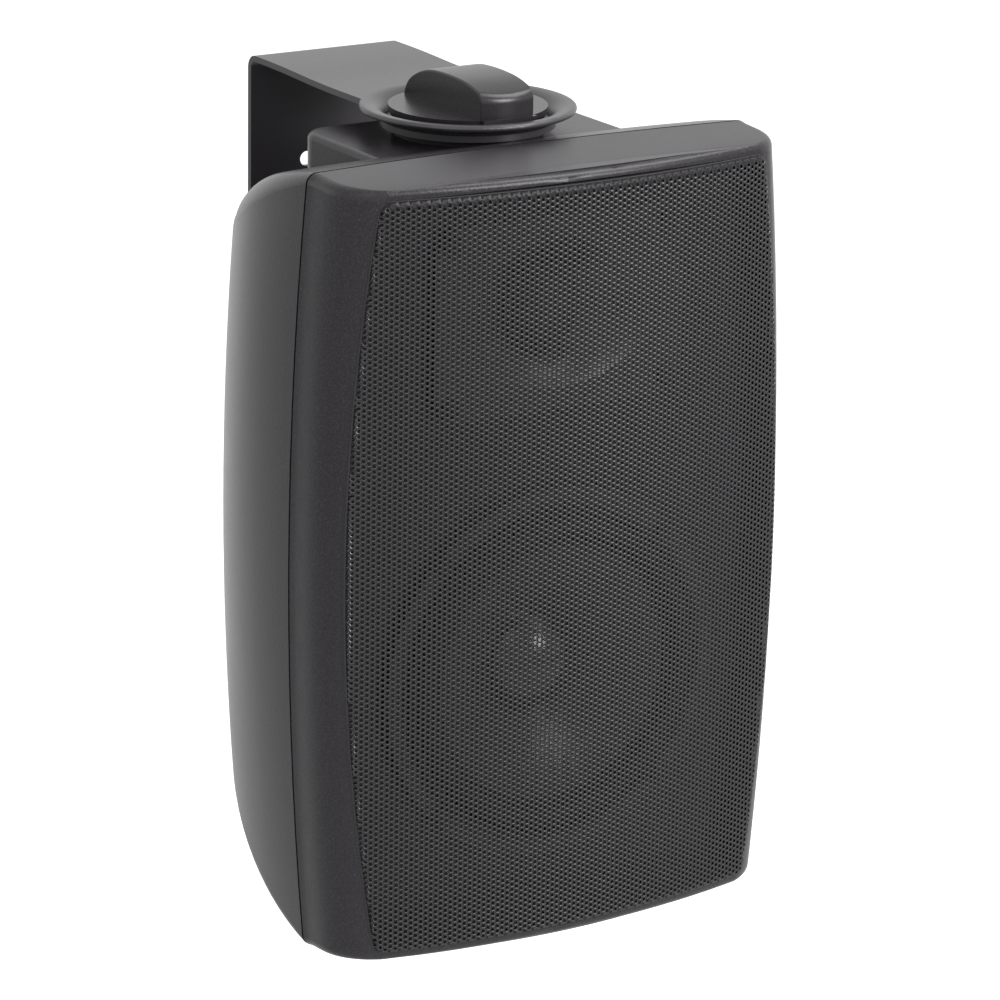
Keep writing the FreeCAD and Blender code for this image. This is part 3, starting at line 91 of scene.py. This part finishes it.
def colour(name, description, red, green, blue):
    """A paint, as linear red, green and blue."""
    return bpy.props.FloatVectorProperty(name=name, description=description, size=3,
                                         default=(red, green, blue), min=0, max=1, subtype="COLOR")


class GrilleSizes(bpy.types.PropertyGroup):
    pitch: length("Hole pitch", "Upright distance between the holes of one column", 1.767)
    column: length("Column spacing", "Distance between neighbouring columns of holes", 1.632)
    mouth: share("Hole mouth", "Size of a hole at the sheet's face as a share of its cell", 0.88)
    throat: share("Hole throat", "Size of a hole at the sheet's back as a share of its cell", 0.53)
    sheet: length("Sheet", "Thickness of the steel sheet", 0.26)
    bend: length("Edge bend", "Radius of the rounded edge", 1.3)
    skirt: length("Edge depth", "Depth of the plain edge behind the bend", 5.0)
    proud: length("Proud", "How far the sheet stands ahead of its node's face", 3.1)
    spread: length("Spread", "How far each side reaches past its node", 3.0)
    lower: length("Lower", "How far the middle lies below that of its node", 0.3)
    reach: length("Reach", "How far the top and bottom reach past the node's", 0.2)
    band: length("Plain band", "Height of the strip without holes along the top", 1.9)
    bow: length("Bow radius", "Radius of the bowed front", 300.0)
    bulge: length("Side bulge", "How far each side stands out at its middle", 10.0)
    crown: length("Crown", "How far the top and bottom stand out at their middle", 0.1)
    corner: length("Corner", "Radius of the corners", 3.5)


class FinishColours(bpy.types.PropertyGroup):
    cabinet: colour("Cabinet", "Moulded charcoal plastic", 0.0215, 0.0185, 0.0222)
    bracket: colour("Bracket", "Satin powder coat", 0.050, 0.046, 0.051)
    knob: colour("Knob", "Satin moulding", 0.0200, 0.0175, 0.0205)
    grille: colour("Grille", "Powder coat on the perforated sheet", 0.014, 0.0125, 0.0147)
    zinc: colour("Zinc", "Plated steel", 0.62, 0.62, 0.64)
    black_steel: colour("Black steel", "Blackened screws and frames", 0.035, 0.035, 0.037)
    brass: colour("Brass", "Turned insert and contacts", 0.72, 0.52, 0.22)
    rubber: colour("Rubber", "Surround, seals and friction ring", 0.018, 0.018, 0.019)
    cone: colour("Cone", "Pressed cone", 0.036, 0.036, 0.038)
    cloth: colour("Cloth", "Varnished centring disc", 0.52, 0.36, 0.15)
    silk: colour("Silk", "Coated tweeter dome", 0.03, 0.03, 0.034)
    ferrite: colour("Ferrite", "Sintered magnets", 0.06, 0.06, 0.065)
    copper: colour("Copper", "Enamelled windings", 0.62, 0.26, 0.12)
    red: colour("Red lever", "Positive terminal", 0.42, 0.012, 0.012)
    black: colour("Black lever", "Negative terminal", 0.018, 0.018, 0.019)
    laminate: colour("Laminate", "Crossover board", 0.30, 0.19, 0.07)
    film: colour("Film", "Capacitor case", 0.42, 0.27, 0.03)
    ceramic: colour("Ceramic", "Resistor body", 0.74, 0.72, 0.66)


class ViewSettings(bpy.types.PropertyGroup):
    azimuth: angle("Azimuth", "Turn of the camera from straight ahead", -32.478)
    elevation: angle("Elevation", "Height of the camera above the horizon", 16.944)
    roll: angle("Roll", "Tilt of the frame", 0.979)
    distance: length("Distance", "From the camera to the point it looks at", 1547.0)
    aim: bpy.props.FloatVectorProperty(
        name="Aim", description="Point that the camera looks at", size=3,
        default=(-0.00546, -0.12524, -0.07064), subtype="TRANSLATION")
    lens: bpy.props.FloatProperty(
        name="Lens", description="Focal length in millimetres", default=175.52)
    floor_drop: length("Floor drop", "From the speaker's lowest point down to the floor", 320.0)


class SpeakerSettings(bpy.types.PropertyGroup):
    grille: bpy.props.PointerProperty(type=GrilleSizes)
    colours: bpy.props.PointerProperty(type=FinishColours)
    view: bpy.props.PointerProperty(type=ViewSettings)


class Tap:
    """A shader socket that can be used in sums."""

    def __init__(self, tree, socket):
        self.tree = tree
        self.socket = socket

    def reckon(self, operation, *values):
        return self.tree.node("ShaderNodeMath", {"operation": operation}, dict(enumerate(values)))

    def __add__(self, other):
        return self.reckon("ADD", self, other)

    def __sub__(self, other):
        return self.reckon("SUBTRACT", self, other)

    def __rsub__(self, other):
        return self.reckon("SUBTRACT", other, self)

    def __mul__(self, other):
        return self.reckon("MULTIPLY", self, other)

    def __pow__(self, other):
        return self.reckon("POWER", self, other)

    def __rpow__(self, other):
        return self.reckon("POWER", other, self)

    __radd__ = __add__
    __rmul__ = __mul__

    def most(self, other):
        """The larger of two numbers."""
        return self.reckon("MAXIMUM", self, other)

    def wave(self, period):
        """A sine wave that repeats after each period."""
        return self.reckon("SINE", self * (2 * math.pi / period))

    def step(self, low, high):
        """Rises smoothly from 0 at low to 1 at high."""
        return self.tree.node("ShaderNodeMapRange", {"interpolation_type": "SMOOTHSTEP"},
                              {"Value": self, "From Min": low, "From Max": high})


class Tree:
    """A node tree, with one method that adds any node."""

    def __init__(self, tree):
        self.tree = tree
        tree.nodes.clear()

    def node(self, kind, options=None, inputs=None, output=0):
        """Adds a node, sets it up, feeds its sockets and returns one of its outputs, if any."""
        made = self.tree.nodes.new(kind)
        for name, value in (options or {}).items():
            setattr(made, name, value)
        for key, value in (inputs or {}).items():
            self.feed(made.inputs[key], value)
        return Tap(self, made.outputs[output]) if made.outputs else None

    def feed(self, socket, value):
        """Links a socket to another one, or sets its value."""
        if isinstance(value, Tap):
            self.tree.links.new(value.socket, socket)
        elif socket.type == "RGBA":
            socket.default_value = (*value, 1.0)
        else:
            socket.default_value = value


class Finish(Tree):
    """One material: a node tree that ends in a Principled shader."""

    def __init__(self, name, **constants):
        self.material = bpy.data.materials.new(name)
        self.material.use_nodes = True
        super().__init__(self.material.node_tree)
        surface = self.node("ShaderNodeBsdfPrincipled")
        self.shader = surface.socket.node
        self.node("ShaderNodeOutputMaterial", None, {"Surface": surface})
        for socket, value in constants.items():
            self.drive(socket.replace("_", " "), value)
        self.place = self.node("ShaderNodeTexCoord", output="Object")

    def drive(self, socket, value):
        """Feeds one of the shader's inputs."""
        self.feed(self.shader.inputs[socket], value)

    def noise(self, grain, detail=2.0, place=None):
        """Cloudy noise with features about one grain across."""
        return self.node("ShaderNodeTexNoise", None,
                         {"Vector": place or self.place, "Scale": 1 / grain, "Detail": detail})

    def tint(self, paint, tone):
        """A colour made lighter or darker by a number."""
        return self.node("ShaderNodeMix", {"data_type": "RGBA", "blend_type": "MULTIPLY"},
                         {0: 1.0, 6: paint, 7: tone}, 2)

    def stretched(self, x, y, z):
        """The piece's own coordinates, scaled along each axis."""
        return self.node("ShaderNodeMapping", None, {"Vector": self.place, "Scale": (x, y, z)})

    def part(self, axis):
        """One of the piece's own coordinates, in metres."""
        return self.node("ShaderNodeSeparateXYZ", None, {0: self.place}, "XYZ".index(axis))

    def bump(self, height, depth):
        """Relief whose full height is depth metres."""
        self.drive("Normal", self.node("ShaderNodeBump", None,
                                       {"Strength": 1.0, "Distance": depth, "Height": height}))

    def radius(self, x, z):
        """Distance from an axis that runs along Y through x, z."""
        across = self.part("X") - x
        up = self.part("Z") - z
        return (across * across + up * up) ** 0.5


def cabinet_plastic(paint):
    """Charcoal moulding with a fine eroded grain, whose brightest specks are painted glints, and a
    faint cloudiness.
    """
    finish = Finish("cabinet_plastic", Specular_IOR_Level=0.42, IOR=1.48)
    grain = finish.noise(0.6 * MM, detail=1.0)
    cloud = finish.noise(34 * MM, detail=3.0)
    # grain ** 4 lifts the base colour in bright specks: partly the moulding's grain tone, partly
    # painted glints
    finish.drive("Base Color", finish.tint(paint, 0.6 + cloud * 0.2 + grain ** 4 * 4.0))
    finish.drive("Roughness", 0.22 + grain * 0.14 + cloud * 0.06)
    finish.bump(grain, 0.05 * MM)
    return finish


def powder_coat(name, paint, roughness, gloss=0.5):
    """Baked powder on steel: a soft orange peel over a very fine grain."""
    finish = Finish(name, Specular_IOR_Level=gloss, IOR=1.5)
    peel = finish.noise(1.6 * MM, detail=1.0)
    grain = finish.noise(0.4 * MM)
    finish.drive("Base Color", finish.tint(paint, 0.92 + grain * 0.16))
    finish.drive("Roughness", roughness - 0.05 + peel * 0.05 + grain * 0.05)
    finish.bump(peel * 0.6 + grain * 0.4, 0.02 * MM)
    return finish


def satin_moulding(name, paint, roughness=0.28, gloss=0.45):
    """Close-grained moulding for the parts that a hand turns or presses."""
    finish = Finish(name, Specular_IOR_Level=gloss, IOR=1.49)
    grain = finish.noise(0.38 * MM)
    wear = finish.noise(9 * MM, detail=3.0)
    finish.drive("Base Color", finish.tint(paint, 0.88 + grain * 0.14 + wear * 0.1))
    finish.drive("Roughness", roughness - 0.06 + grain * 0.06 + wear * 0.06)
    finish.bump(grain, 0.025 * MM)
    return finish


def plated(name, paint, roughness=0.3, metallic=1.0):
    """Plated or blackened steel with fine turning marks and a cloudy dip."""
    finish = Finish(name, Metallic=metallic)
    marks = finish.noise(0.5 * MM, place=finish.stretched(1.0, 6.0, 1.0))
    cloud = finish.noise(5 * MM, detail=3.0)
    finish.drive("Base Color", finish.tint(paint, 0.8 + cloud * 0.3 + marks * 0.1))
    finish.drive("Roughness", roughness - 0.08 + cloud * 0.1 + marks * 0.06)
    finish.bump(marks, 0.01 * MM)
    return finish


def soft_rubber(name, paint, grain_size=0.5 * MM):
    """Dull rubber or foam with a fine open grain."""
    finish = Finish(name, Specular_IOR_Level=0.3)
    cells = finish.node("ShaderNodeTexVoronoi", None,
                        {"Vector": finish.place, "Scale": 1 / grain_size})
    cloud = finish.noise(6 * MM)
    finish.drive("Base Color", finish.tint(paint, 0.8 + cloud * 0.3 + cells * 0.15))
    finish.drive("Roughness", 0.62 + cells * 0.15)
    finish.bump(cells, 0.05 * MM)
    return finish


def pressed_cone(name, paint, x, z, roughness):
    """Pressed cone with faint rings about its axis."""
    finish = Finish(name, Specular_IOR_Level=0.4)
    rings = finish.radius(x, z).wave(1.4 * MM)
    pulp = finish.noise(0.9 * MM, detail=3.0)
    finish.drive("Base Color", finish.tint(paint, 0.86 + pulp * 0.24 + rings * 0.05))
    finish.drive("Roughness", roughness - 0.05 + pulp * 0.12)
    finish.bump(pulp * 0.5 + rings * 0.25, 0.06 * MM)
    return finish


def woven(name, paint, thread=0.7 * MM):
    """Varnished cloth: two crossing sets of threads."""
    finish = Finish(name, Specular_IOR_Level=0.4)
    warp = finish.part("X").wave(thread)
    weft = finish.part("Z").wave(thread)
    weave = warp * weft * 0.5 + 0.5
    finish.drive("Base Color", finish.tint(paint, 0.7 + weave * 0.4))
    finish.drive("Roughness", 0.5 + weave * 0.15)
    finish.bump(weave, 0.08 * MM)
    return finish


def sintered(name, paint):
    """Grey sintered ferrite with pits."""
    finish = Finish(name, Specular_IOR_Level=0.5)
    pits = finish.noise(0.8 * MM, detail=4.0)
    cloud = finish.noise(11 * MM)
    finish.drive("Base Color", finish.tint(paint, 0.7 + pits * 0.3 + cloud * 0.3))
    finish.drive("Roughness", 0.42 + pits * 0.2)
    finish.bump(pits, 0.06 * MM)
    return finish


def winding(name, paint):
    """Enamelled wire laid side by side along Y."""
    finish = Finish(name, Metallic=0.85, Coat_Roughness=0.12)
    turns = finish.part("Y").wave(0.9 * MM)
    cloud = finish.noise(4 * MM)
    finish.drive("Base Color", finish.tint(paint, 0.75 + turns * 0.12 + cloud * 0.3))
    finish.drive("Roughness", 0.28 + cloud * 0.12)
    finish.drive("Coat Weight", 0.4 + cloud * 0.3)
    finish.bump(turns * 0.5 + 0.5, 0.12 * MM)
    return finish


def board_laminate(paint):
    """Pressed paper laminate with soft fibres."""
    finish = Finish("board_laminate", Specular_IOR_Level=0.45)
    fibres = finish.noise(1.2 * MM, detail=4.0, place=finish.stretched(0.35, 1.0, 1.0))
    finish.drive("Base Color", finish.tint(paint, 0.75 + fibres * 0.45))
    finish.drive("Roughness", 0.38 + fibres * 0.15)
    finish.bump(fibres, 0.03 * MM)
    return finish


def matt_body(name, paint, roughness):
    """Plain cast body with a slightly mottled face."""
    finish = Finish(name, Specular_IOR_Level=0.4)
    mottle = finish.noise(1.5 * MM, detail=4.0)
    finish.drive("Base Color", finish.tint(paint, 0.88 + mottle * 0.22))
    finish.drive("Roughness", roughness + mottle * 0.12)
    finish.bump(mottle, 0.04 * MM)
    return finish


def dress(finish, *nodes):
    """Gives CAD nodes a finish of their own."""
    for name in nodes:
        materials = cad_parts[name].data.materials
        materials.clear()
        materials.append(finish.material)


def new_piece(name, mesh, finish, body, slot, *replaced):
    """Sets a new mesh in the scene on the body that carries it."""
    piece = bpy.data.objects.new(name, mesh)
    bpy.context.scene.collection.objects.link(piece)
    mesh.materials.append(finish.material)
    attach(piece, body)
    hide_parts(*replaced)
    return piece


def arc_points(centre, radius, start, end, step):
    """Points along an arc in the plane, about one step apart."""
    count = max(2, math.ceil(abs(end - start) * radius / step))
    turns = [start + (end - start) * index / count for index in range(count)]
    return [centre + radius * Vector((math.cos(turn), math.sin(turn))) for turn in turns]


def barrel(half_width, half_height, bulge, crown, corner, step):
    """A closed anticlockwise outline: bulged sides, a crowned top and bottom, tangent corners."""
    half_end = half_width - bulge
    side = (half_height ** 2 + bulge ** 2) / (2 * bulge)
    cap = (half_end ** 2 + crown ** 2) / (2 * crown)
    side_at, cap_at = Vector((half_width - side, 0)), Vector((0, half_height + crown - cap))
    span = (cap_at - side_at).length
    along = ((side - corner) ** 2 - (cap - corner) ** 2 + span ** 2) / (2 * span)
    aside = math.sqrt((side - corner) ** 2 - along ** 2)
    way = (cap_at - side_at) / span
    middle = side_at + way * along + Vector((-way.y, way.x)) * aside
    low = math.atan2(middle.y - side_at.y, middle.x - side_at.x)
    high = math.atan2(middle.y - cap_at.y, middle.x - cap_at.x)
    quarter = arc_points(side_at, side, 0, low, step)
    quarter += arc_points(middle, corner, low, high, corner / EDGE_STEPS)
    quarter += arc_points(cap_at, cap, high, math.pi / 2, step)
    left = [Vector((-point.x, point.y)) for point in reversed(quarter[1:])]
    upper = quarter + [Vector((0, half_height + crown))] + left
    lower = [Vector((point.x, -point.y)) for point in reversed(upper[1:])]
    return upper + [Vector((-half_width, 0))] + lower


class Edge:
    """A closed convex outline that can tell which points lie outside it."""

    def __init__(self, points):
        self.points = points
        self.tree = KDTree(len(points))
        for index, point in enumerate(points):
            self.tree.insert((point.x, point.y, 0), index)
        self.tree.balance()

    def overrun(self, flat):
        """How far outside a point lies, the outline's nearest point and the way out there."""
        _, index, distance = self.tree.find((flat.x, flat.y, 0))
        near = self.points[index]
        way = self.points[(index + 1) % len(self.points)] - self.points[index - 1]
        outward = Vector((way.y, -way.x)).normalized()
        return math.copysign(distance, outward.dot(flat - near)), near, outward


class Grille:
    """Where the grille's bowed front lies, taken from its node."""

    def __init__(self, sizes):
        low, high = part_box("grille")
        self.sizes = sizes
        self.front = low.y - sizes.proud
        self.middle = (low.z + high.z) / 2 - sizes.lower
        self.half_width = high.x + sizes.spread
        self.half_height = (high.z - low.z) / 2 + sizes.reach - sizes.crown
        self.edge = Edge(barrel(self.half_width, self.half_height, sizes.bulge, sizes.crown,
                                sizes.corner, sizes.pitch / EDGE_STEPS))

    def seat(self, flat):
        """The point of the sheet's face over a flat point, and the way from there to its back."""
        bend, bow = self.sizes.bend, self.sizes.bow
        over, near, outward = self.edge.overrun(flat)
        spot = near if over > 0 else flat
        lean = min(max(1 + over / bend, 0), 1)
        level = math.sqrt(1 - lean ** 2)
        depth = self.front + bow - math.sqrt(bow ** 2 - spot.x ** 2) + bend * (1 - level)
        face = Vector((spot.x, depth, self.middle + spot.y))
        return face, Vector((-outward.x * lean, level, -outward.y * lean))


def perforated(name, shape, side):
    """The bowed sheet above or below its middle: a six-sided hole in each cell but a plain top."""
    sizes = shape.sizes
    pitch, column = sizes.pitch, sizes.column
    tip = column / 2 + pitch ** 2 / (8 * column)
    shoulder = column - tip
    cell = [Vector(corner) for corner in (
        (tip, 0), (shoulder, pitch / 2), (-shoulder, pitch / 2),
        (-tip, 0), (-shoulder, -pitch / 2), (shoulder, -pitch / 2))]
    overlap = 2 * pitch  # how far past the middle this half still has cells
    seam = -pitch / 9  # below zero, so that faces across the middle all go to the upper half
    weld = pitch / 50  # corners nearer than this become one
    columns = math.ceil(shape.half_width / column) + 1
    rows = math.ceil((shape.half_height + sizes.crown) / pitch) + 1
    mesh = bmesh.new()
    behind = mesh.verts.layers.float_vector.new("behind")
    corners = {}

    def middle_of(i, j):
        return Vector((i * column, (j + (i % 2) / 2) * pitch))

    def corner_vert(middle, corner):
        vert = mesh.verts.new(shape.seat(middle + corner * sizes.mouth)[0])
        face, back = shape.seat(middle + corner * sizes.throat)
        vert[behind] = face + back * sizes.sheet
        return vert

    for i in range(-columns, columns + 1):
        for j in range(-rows, rows + 1):
            middle = middle_of(i, j)
            if shape.edge.overrun(middle)[0] < pitch and middle.y * side > -overlap:
                corners[i, j] = [corner_vert(middle, corner) for corner in cell]

    def face(*picks):
        found = [corners[spot][corner] for spot, corner in picks if spot in corners]
        height = sum(vert.co.z - shape.middle for vert in found)
        if len(found) == len(picks) and (height > seam) == (side > 0):
            mesh.faces.new(found)

    for i, j in corners:
        here, above = (i, j), (i, j + 1)
        upper, lower = (i + 1, j + i % 2), (i + 1, j + i % 2 - 1)
        face((here, 0), (lower, 2), (upper, 4))
        face((here, 1), (upper, 3), (above, 5))
        face((here, 2), (here, 1), (above, 5), (above, 4))
        face((here, 0), (upper, 4), (upper, 3), (here, 1))
        face((here, 5), (lower, 3), (lower, 2), (here, 0))
        if shape.half_height - middle_of(i, j).y < sizes.band:
            face(*((here, corner) for corner in range(6)))
    bmesh.ops.remove_doubles(mesh, verts=mesh.verts, dist=weld)
    bmesh.ops.dissolve_degenerate(mesh, edges=mesh.edges, dist=weld / 2)
    loose = [vert for vert in mesh.verts if not vert.link_faces]
    bmesh.ops.delete(mesh, geom=loose, context="VERTS")
    close_back(mesh, behind)
    return finished(mesh, name)


def close_back(mesh, behind):
    """Makes a sheet solid: a back through a layer's points, and walls in the second material."""
    faces = list(mesh.faces)
    rims = [edge.link_loops[0] for edge in mesh.edges if edge.is_boundary]
    rims = [(loop.link_loop_next.vert, loop.vert) for loop in rims]
    twin = {}
    for vert in list(mesh.verts):
        twin[vert] = mesh.verts.new(vert[behind])
    for face in faces:
        mesh.faces.new([twin[vert] for vert in reversed(face.verts)])
    for one, other in rims:
        mesh.faces.new((one, other, twin[other], twin[one])).material_index = 1


def finished(mesh, name):
    """Turns a bmesh into a mesh of that name."""
    made = bpy.data.meshes.new(name)
    mesh.to_mesh(made)
    mesh.free()
    return made


def strip(name, rings):
    """A closed band through rings of points."""
    mesh = bmesh.new()
    loops = [[mesh.verts.new(point) for point in ring] for ring in rings]
    for one, other in zip(loops, loops[1:]):
        for index in range(len(one)):
            after = (index + 1) % len(one)
            face = mesh.faces.new((one[index], one[after], other[after], other[index]))
            face.smooth = True
    return finished(mesh, name)


def settings():
    """The sizes, colours and view that a user can change."""
    return bpy.context.scene.wall_speaker


class SPEAKER_OT_grille(bpy.types.Operator):
    """Perforate the bowed sheet and turn its edge"""
    bl_idname = "speaker.grille"
    bl_label = "Grille"

    def execute(self, context):
        sizes = settings().grille
        paints = settings().colours
        shape = Grille(sizes)
        coat = powder_coat("grille_coat", paints.grille, roughness=0.36, gloss=0.25)
        lips = powder_coat("grille_lips", paints.grille, roughness=0.32, gloss=0.75)
        fold = powder_coat("grille_fold", paints.black_steel, roughness=0.75)
        for name, side in (("grille_upper", 1), ("grille_lower", -1)):
            sheet = perforated(name, shape, side)
            new_piece(name, sheet, coat, "cabinet", "grille_paint", "grille")
            sheet.materials.append(lips.material)
        brink = [shape.seat(flat)[0] for flat in shape.edge.points[::EDGE_STEPS]]
        skirt = [point + Vector((0, sizes.skirt, 0)) for point in brink]
        band = strip("grille_edge", [brink, skirt])
        edge = new_piece("grille_edge", band, fold, "cabinet", "grille_paint", "grille")
        edge.modifiers.new("sheet", "SOLIDIFY").thickness = sizes.sheet
        return {"FINISHED"}


class SPEAKER_OT_cabinet(bpy.types.Operator):
    """Finish the two mouldings of the cabinet and the seal between them"""
    bl_idname = "speaker.cabinet"
    bl_label = "Cabinet"

    def execute(self, context):
        paints = settings().colours
        dress(cabinet_plastic(paints.cabinet), "rear_cabinet", "front_baffle")
        foam = soft_rubber("seal_foam", paints.rubber, grain_size=0.4 * MM)
        dress(foam, "cabinet_gasket", "woofer_gasket")
        return {"FINISHED"}


class SPEAKER_OT_bracket(bpy.types.Operator):
    """Finish the wall bracket and the clamp on its pan axis"""
    bl_idname = "speaker.bracket"
    bl_label = "Bracket and clamp"

    def execute(self, context):
        paints = settings().colours
        dress(powder_coat("bracket_coat", paints.bracket, roughness=0.32), "wall_bracket")
        dress(satin_moulding("knob_plastic", paints.knob), "clamp_knob")
        dress(plated("zinc_steel", paints.zinc), "knob_stud", "knob_washer")
        dress(plated("brass_insert", paints.brass), "thread_insert")
        dress(soft_rubber("friction_rubber", paints.rubber), "friction_ring")
        return {"FINISHED"}


class SPEAKER_OT_woofer(bpy.types.Operator):
    """Finish the woofer"""
    bl_idname = "speaker.woofer"
    bl_label = "Woofer"

    def execute(self, context):
        paints = settings().colours
        low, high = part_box("woofer_cone")
        x, z = (low.x + high.x) / 2, (low.z + high.z) / 2
        dress(powder_coat("basket_coat", paints.black_steel, roughness=0.45), "woofer_basket")
        surround = soft_rubber("surround_rubber", paints.rubber, grain_size=0.7 * MM)
        cap = satin_moulding("cap_plastic", paints.cone, roughness=0.12, gloss=1.0)
        dress(surround, "woofer_surround")
        dress(pressed_cone("cone_plastic", paints.cone, x, z, roughness=0.3), "woofer_cone")
        dress(cap, "woofer_dust_cap")
        dress(woven("spider_cloth", paints.cloth), "woofer_spider")
        dress(winding("woofer_winding", paints.copper), "voice_coil")
        dress(plated("woofer_steel", paints.zinc), "woofer_top_plate", "woofer_yoke")
        dress(sintered("woofer_ferrite", paints.ferrite), "woofer_magnet")
        return {"FINISHED"}


class SPEAKER_OT_tweeter(bpy.types.Operator):
    """Finish the tweeter"""
    bl_idname = "speaker.tweeter"
    bl_label = "Tweeter"

    def execute(self, context):
        paints = settings().colours
        horn = satin_moulding("horn_plastic", paints.black, roughness=0.26, gloss=0.9)
        dress(horn, "tweeter_faceplate")
        dress(woven("dome_silk", paints.silk, thread=0.45 * MM), "tweeter_dome")
        dress(winding("tweeter_winding", paints.copper), "tweeter_coil")
        dress(plated("tweeter_steel", paints.zinc), "tweeter_top_plate", "tweeter_yoke")
        dress(sintered("tweeter_ferrite", paints.ferrite), "tweeter_magnet")
        return {"FINISHED"}


class SPEAKER_OT_terminals(bpy.types.Operator):
    """Finish the push terminals on the rear"""
    bl_idname = "speaker.terminals"
    bl_label = "Terminals"

    def execute(self, context):
        paints = settings().colours
        dress(satin_moulding("panel_plastic", paints.black, roughness=0.42), "terminal_panel")
        dress(satin_moulding("lever_red", paints.red, roughness=0.3), "terminal_lever_red")
        dress(satin_moulding("lever_black", paints.black, roughness=0.3), "terminal_lever_black")
        dress(plated("pin_steel", paints.zinc), "lever_pin")
        dress(plated("contact_brass", paints.brass), "terminal_contacts")
        return {"FINISHED"}


class SPEAKER_OT_crossover(bpy.types.Operator):
    """Finish the crossover inside the cabinet"""
    bl_idname = "speaker.crossover"
    bl_label = "Crossover"

    def execute(self, context):
        paints = settings().colours
        dress(board_laminate(paints.laminate), "crossover_board")
        dress(winding("inductor_winding", paints.copper), "crossover_inductor")
        dress(satin_moulding("film_case", paints.film), "crossover_capacitor")
        dress(matt_body("ceramic", paints.ceramic, roughness=0.6), "crossover_resistor")
        return {"FINISHED"}


class SPEAKER_OT_screws(bpy.types.Operator):
    """Finish the screws"""
    bl_idname = "speaker.screws"
    bl_label = "Screws"

    def execute(self, context):
        paints = settings().colours
        black = plated("black_screw", paints.black_steel, roughness=0.38, metallic=0.6)
        dress(black, "cabinet_screws", "woofer_screws", "tweeter_screws", "terminal_screws")
        dress(plated("board_screw", paints.zinc), "board_screws")
        return {"FINISHED"}


def lamp(name, target, size, watts, place):
    """A soft square lamp that faces a target."""
    light = bpy.data.lights.new(name, "AREA")
    light.size = size
    light.energy = watts
    made = bpy.data.objects.new(name, light)
    bpy.context.scene.collection.objects.link(made)
    made.location = place
    made.rotation_euler = (target - made.location).to_track_quat("-Z", "Y").to_euler()


def white_rays(tree, mirrored=1.0):
    """1 for rays from the camera, a share of that for mirrored or refracted ones, or else 0."""
    path = tree.node("ShaderNodeLightPath").socket.node.outputs
    camera, glossy, through = (Tap(tree, path[f"Is {kind} Ray"])
                               for kind in ("Camera", "Glossy", "Transmission"))
    return camera.most(glossy.most(through) * mirrored)


def floor_paper():
    """Pale paper that reads as white, and is mirrored in full only behind and to the right."""
    paper = Finish("floor_paper", Roughness=0.9, Base_Color=(0.8, 0.8, 0.8), Emission_Strength=0.7)
    elsewhere = 0.15
    right = paper.part("X").step(-0.5, 0.3)
    behind = paper.part("Y").step(0.55, 1.25)
    mirrored = elsewhere + right * behind * (1 - elsewhere)
    paper.drive("Emission Color", paper.tint((1, 1, 1), white_rays(paper, mirrored)))
    return paper.material


class SPEAKER_OT_stage(bpy.types.Operator):
    """Set the floor, the studio light and the camera"""
    bl_idname = "speaker.stage"
    bl_label = "Stage"

    def execute(self, context):
        scene = context.scene
        view = settings().view
        scene.view_settings.view_transform = "Standard"
        world = bpy.data.worlds.new("studio")
        scene.world = world
        world.use_nodes = True
        sky = Tree(world.node_tree)
        fill = 0.5  # share of the background's white that lights the speaker
        strength = fill + white_rays(sky) * (1 - fill)
        light = sky.node("ShaderNodeBackground", None, {"Color": (1, 1, 1), "Strength": strength})
        sky.node("ShaderNodeOutputWorld", None, {"Surface": light})

        bpy.ops.mesh.primitive_grid_add(x_subdivisions=2, y_subdivisions=2, size=FLOOR_SIZE,
                                        location=(0, 0, CAD_BOX[0][2] - view.floor_drop))
        floor = context.object
        floor.name = "floor"
        floor.data.materials.append(floor_paper())

        target = Vector(view.aim)
        lamp("key", target, size=1.2, watts=3, place=(-1.2, -1.2, 1.5))
        lamp("rim", target, size=1.0, watts=2, place=(-1.5, 1.0, 0.5))
        lamp("top", target, size=1.0, watts=18, place=(0.9635, -0.5052, 1.5064))
        lamp("front", target, size=0.6, watts=16, place=(0.6575, -1.5022, 0.6774))

        lens = bpy.data.cameras.new("camera")
        lens.lens = view.lens
        camera = bpy.data.objects.new("camera", lens)
        scene.collection.objects.link(camera)
        flat = math.cos(view.elevation)
        back = Vector((math.sin(view.azimuth) * flat, -math.cos(view.azimuth) * flat,
                       math.sin(view.elevation)))
        level = Vector((0, 0, 1)).cross(back).normalized()
        across = Matrix.Rotation(view.roll, 3, back) @ level
        upward = back.cross(across)
        turn = Matrix((across, upward, back)).transposed().to_4x4()
        camera.matrix_world = Matrix.Translation(target + back * view.distance) @ turn
        scene.camera = camera
        return {"FINISHED"}


OPERATORS = (SPEAKER_OT_cabinet, SPEAKER_OT_grille, SPEAKER_OT_bracket, SPEAKER_OT_woofer,
             SPEAKER_OT_tweeter, SPEAKER_OT_terminals, SPEAKER_OT_crossover, SPEAKER_OT_screws,
             SPEAKER_OT_stage)


class SPEAKER_PT_finish(bpy.types.Panel):
    """Lists the speaker's groups of pieces"""
    bl_label = "Wall speaker"
    bl_space_type = "VIEW_3D"
    bl_region_type = "UI"
    bl_category = "Wall speaker"

    def draw(self, context):
        for operator in OPERATORS:
            self.layout.operator(operator.bl_idname)
        for group in ("grille", "colours", "view"):
            box = self.layout.box()
            values = getattr(context.scene.wall_speaker, group)
            for name in values.__annotations__:
                box.prop(values, name)


CLASSES = (GrilleSizes, FinishColours, ViewSettings, SpeakerSettings, *OPERATORS, SPEAKER_PT_finish)


def register():
    for item in CLASSES:
        bpy.utils.register_class(item)
    bpy.types.Scene.wall_speaker = bpy.props.PointerProperty(type=SpeakerSettings)


def unregister():
    del bpy.types.Scene.wall_speaker
    for item in reversed(CLASSES):
        bpy.utils.unregister_class(item)


def main():
    register()
    for operator in OPERATORS:
        group, name = operator.bl_idname.split(".")
        getattr(getattr(bpy.ops, group), name)()


if __name__ == "__main__":
    main()
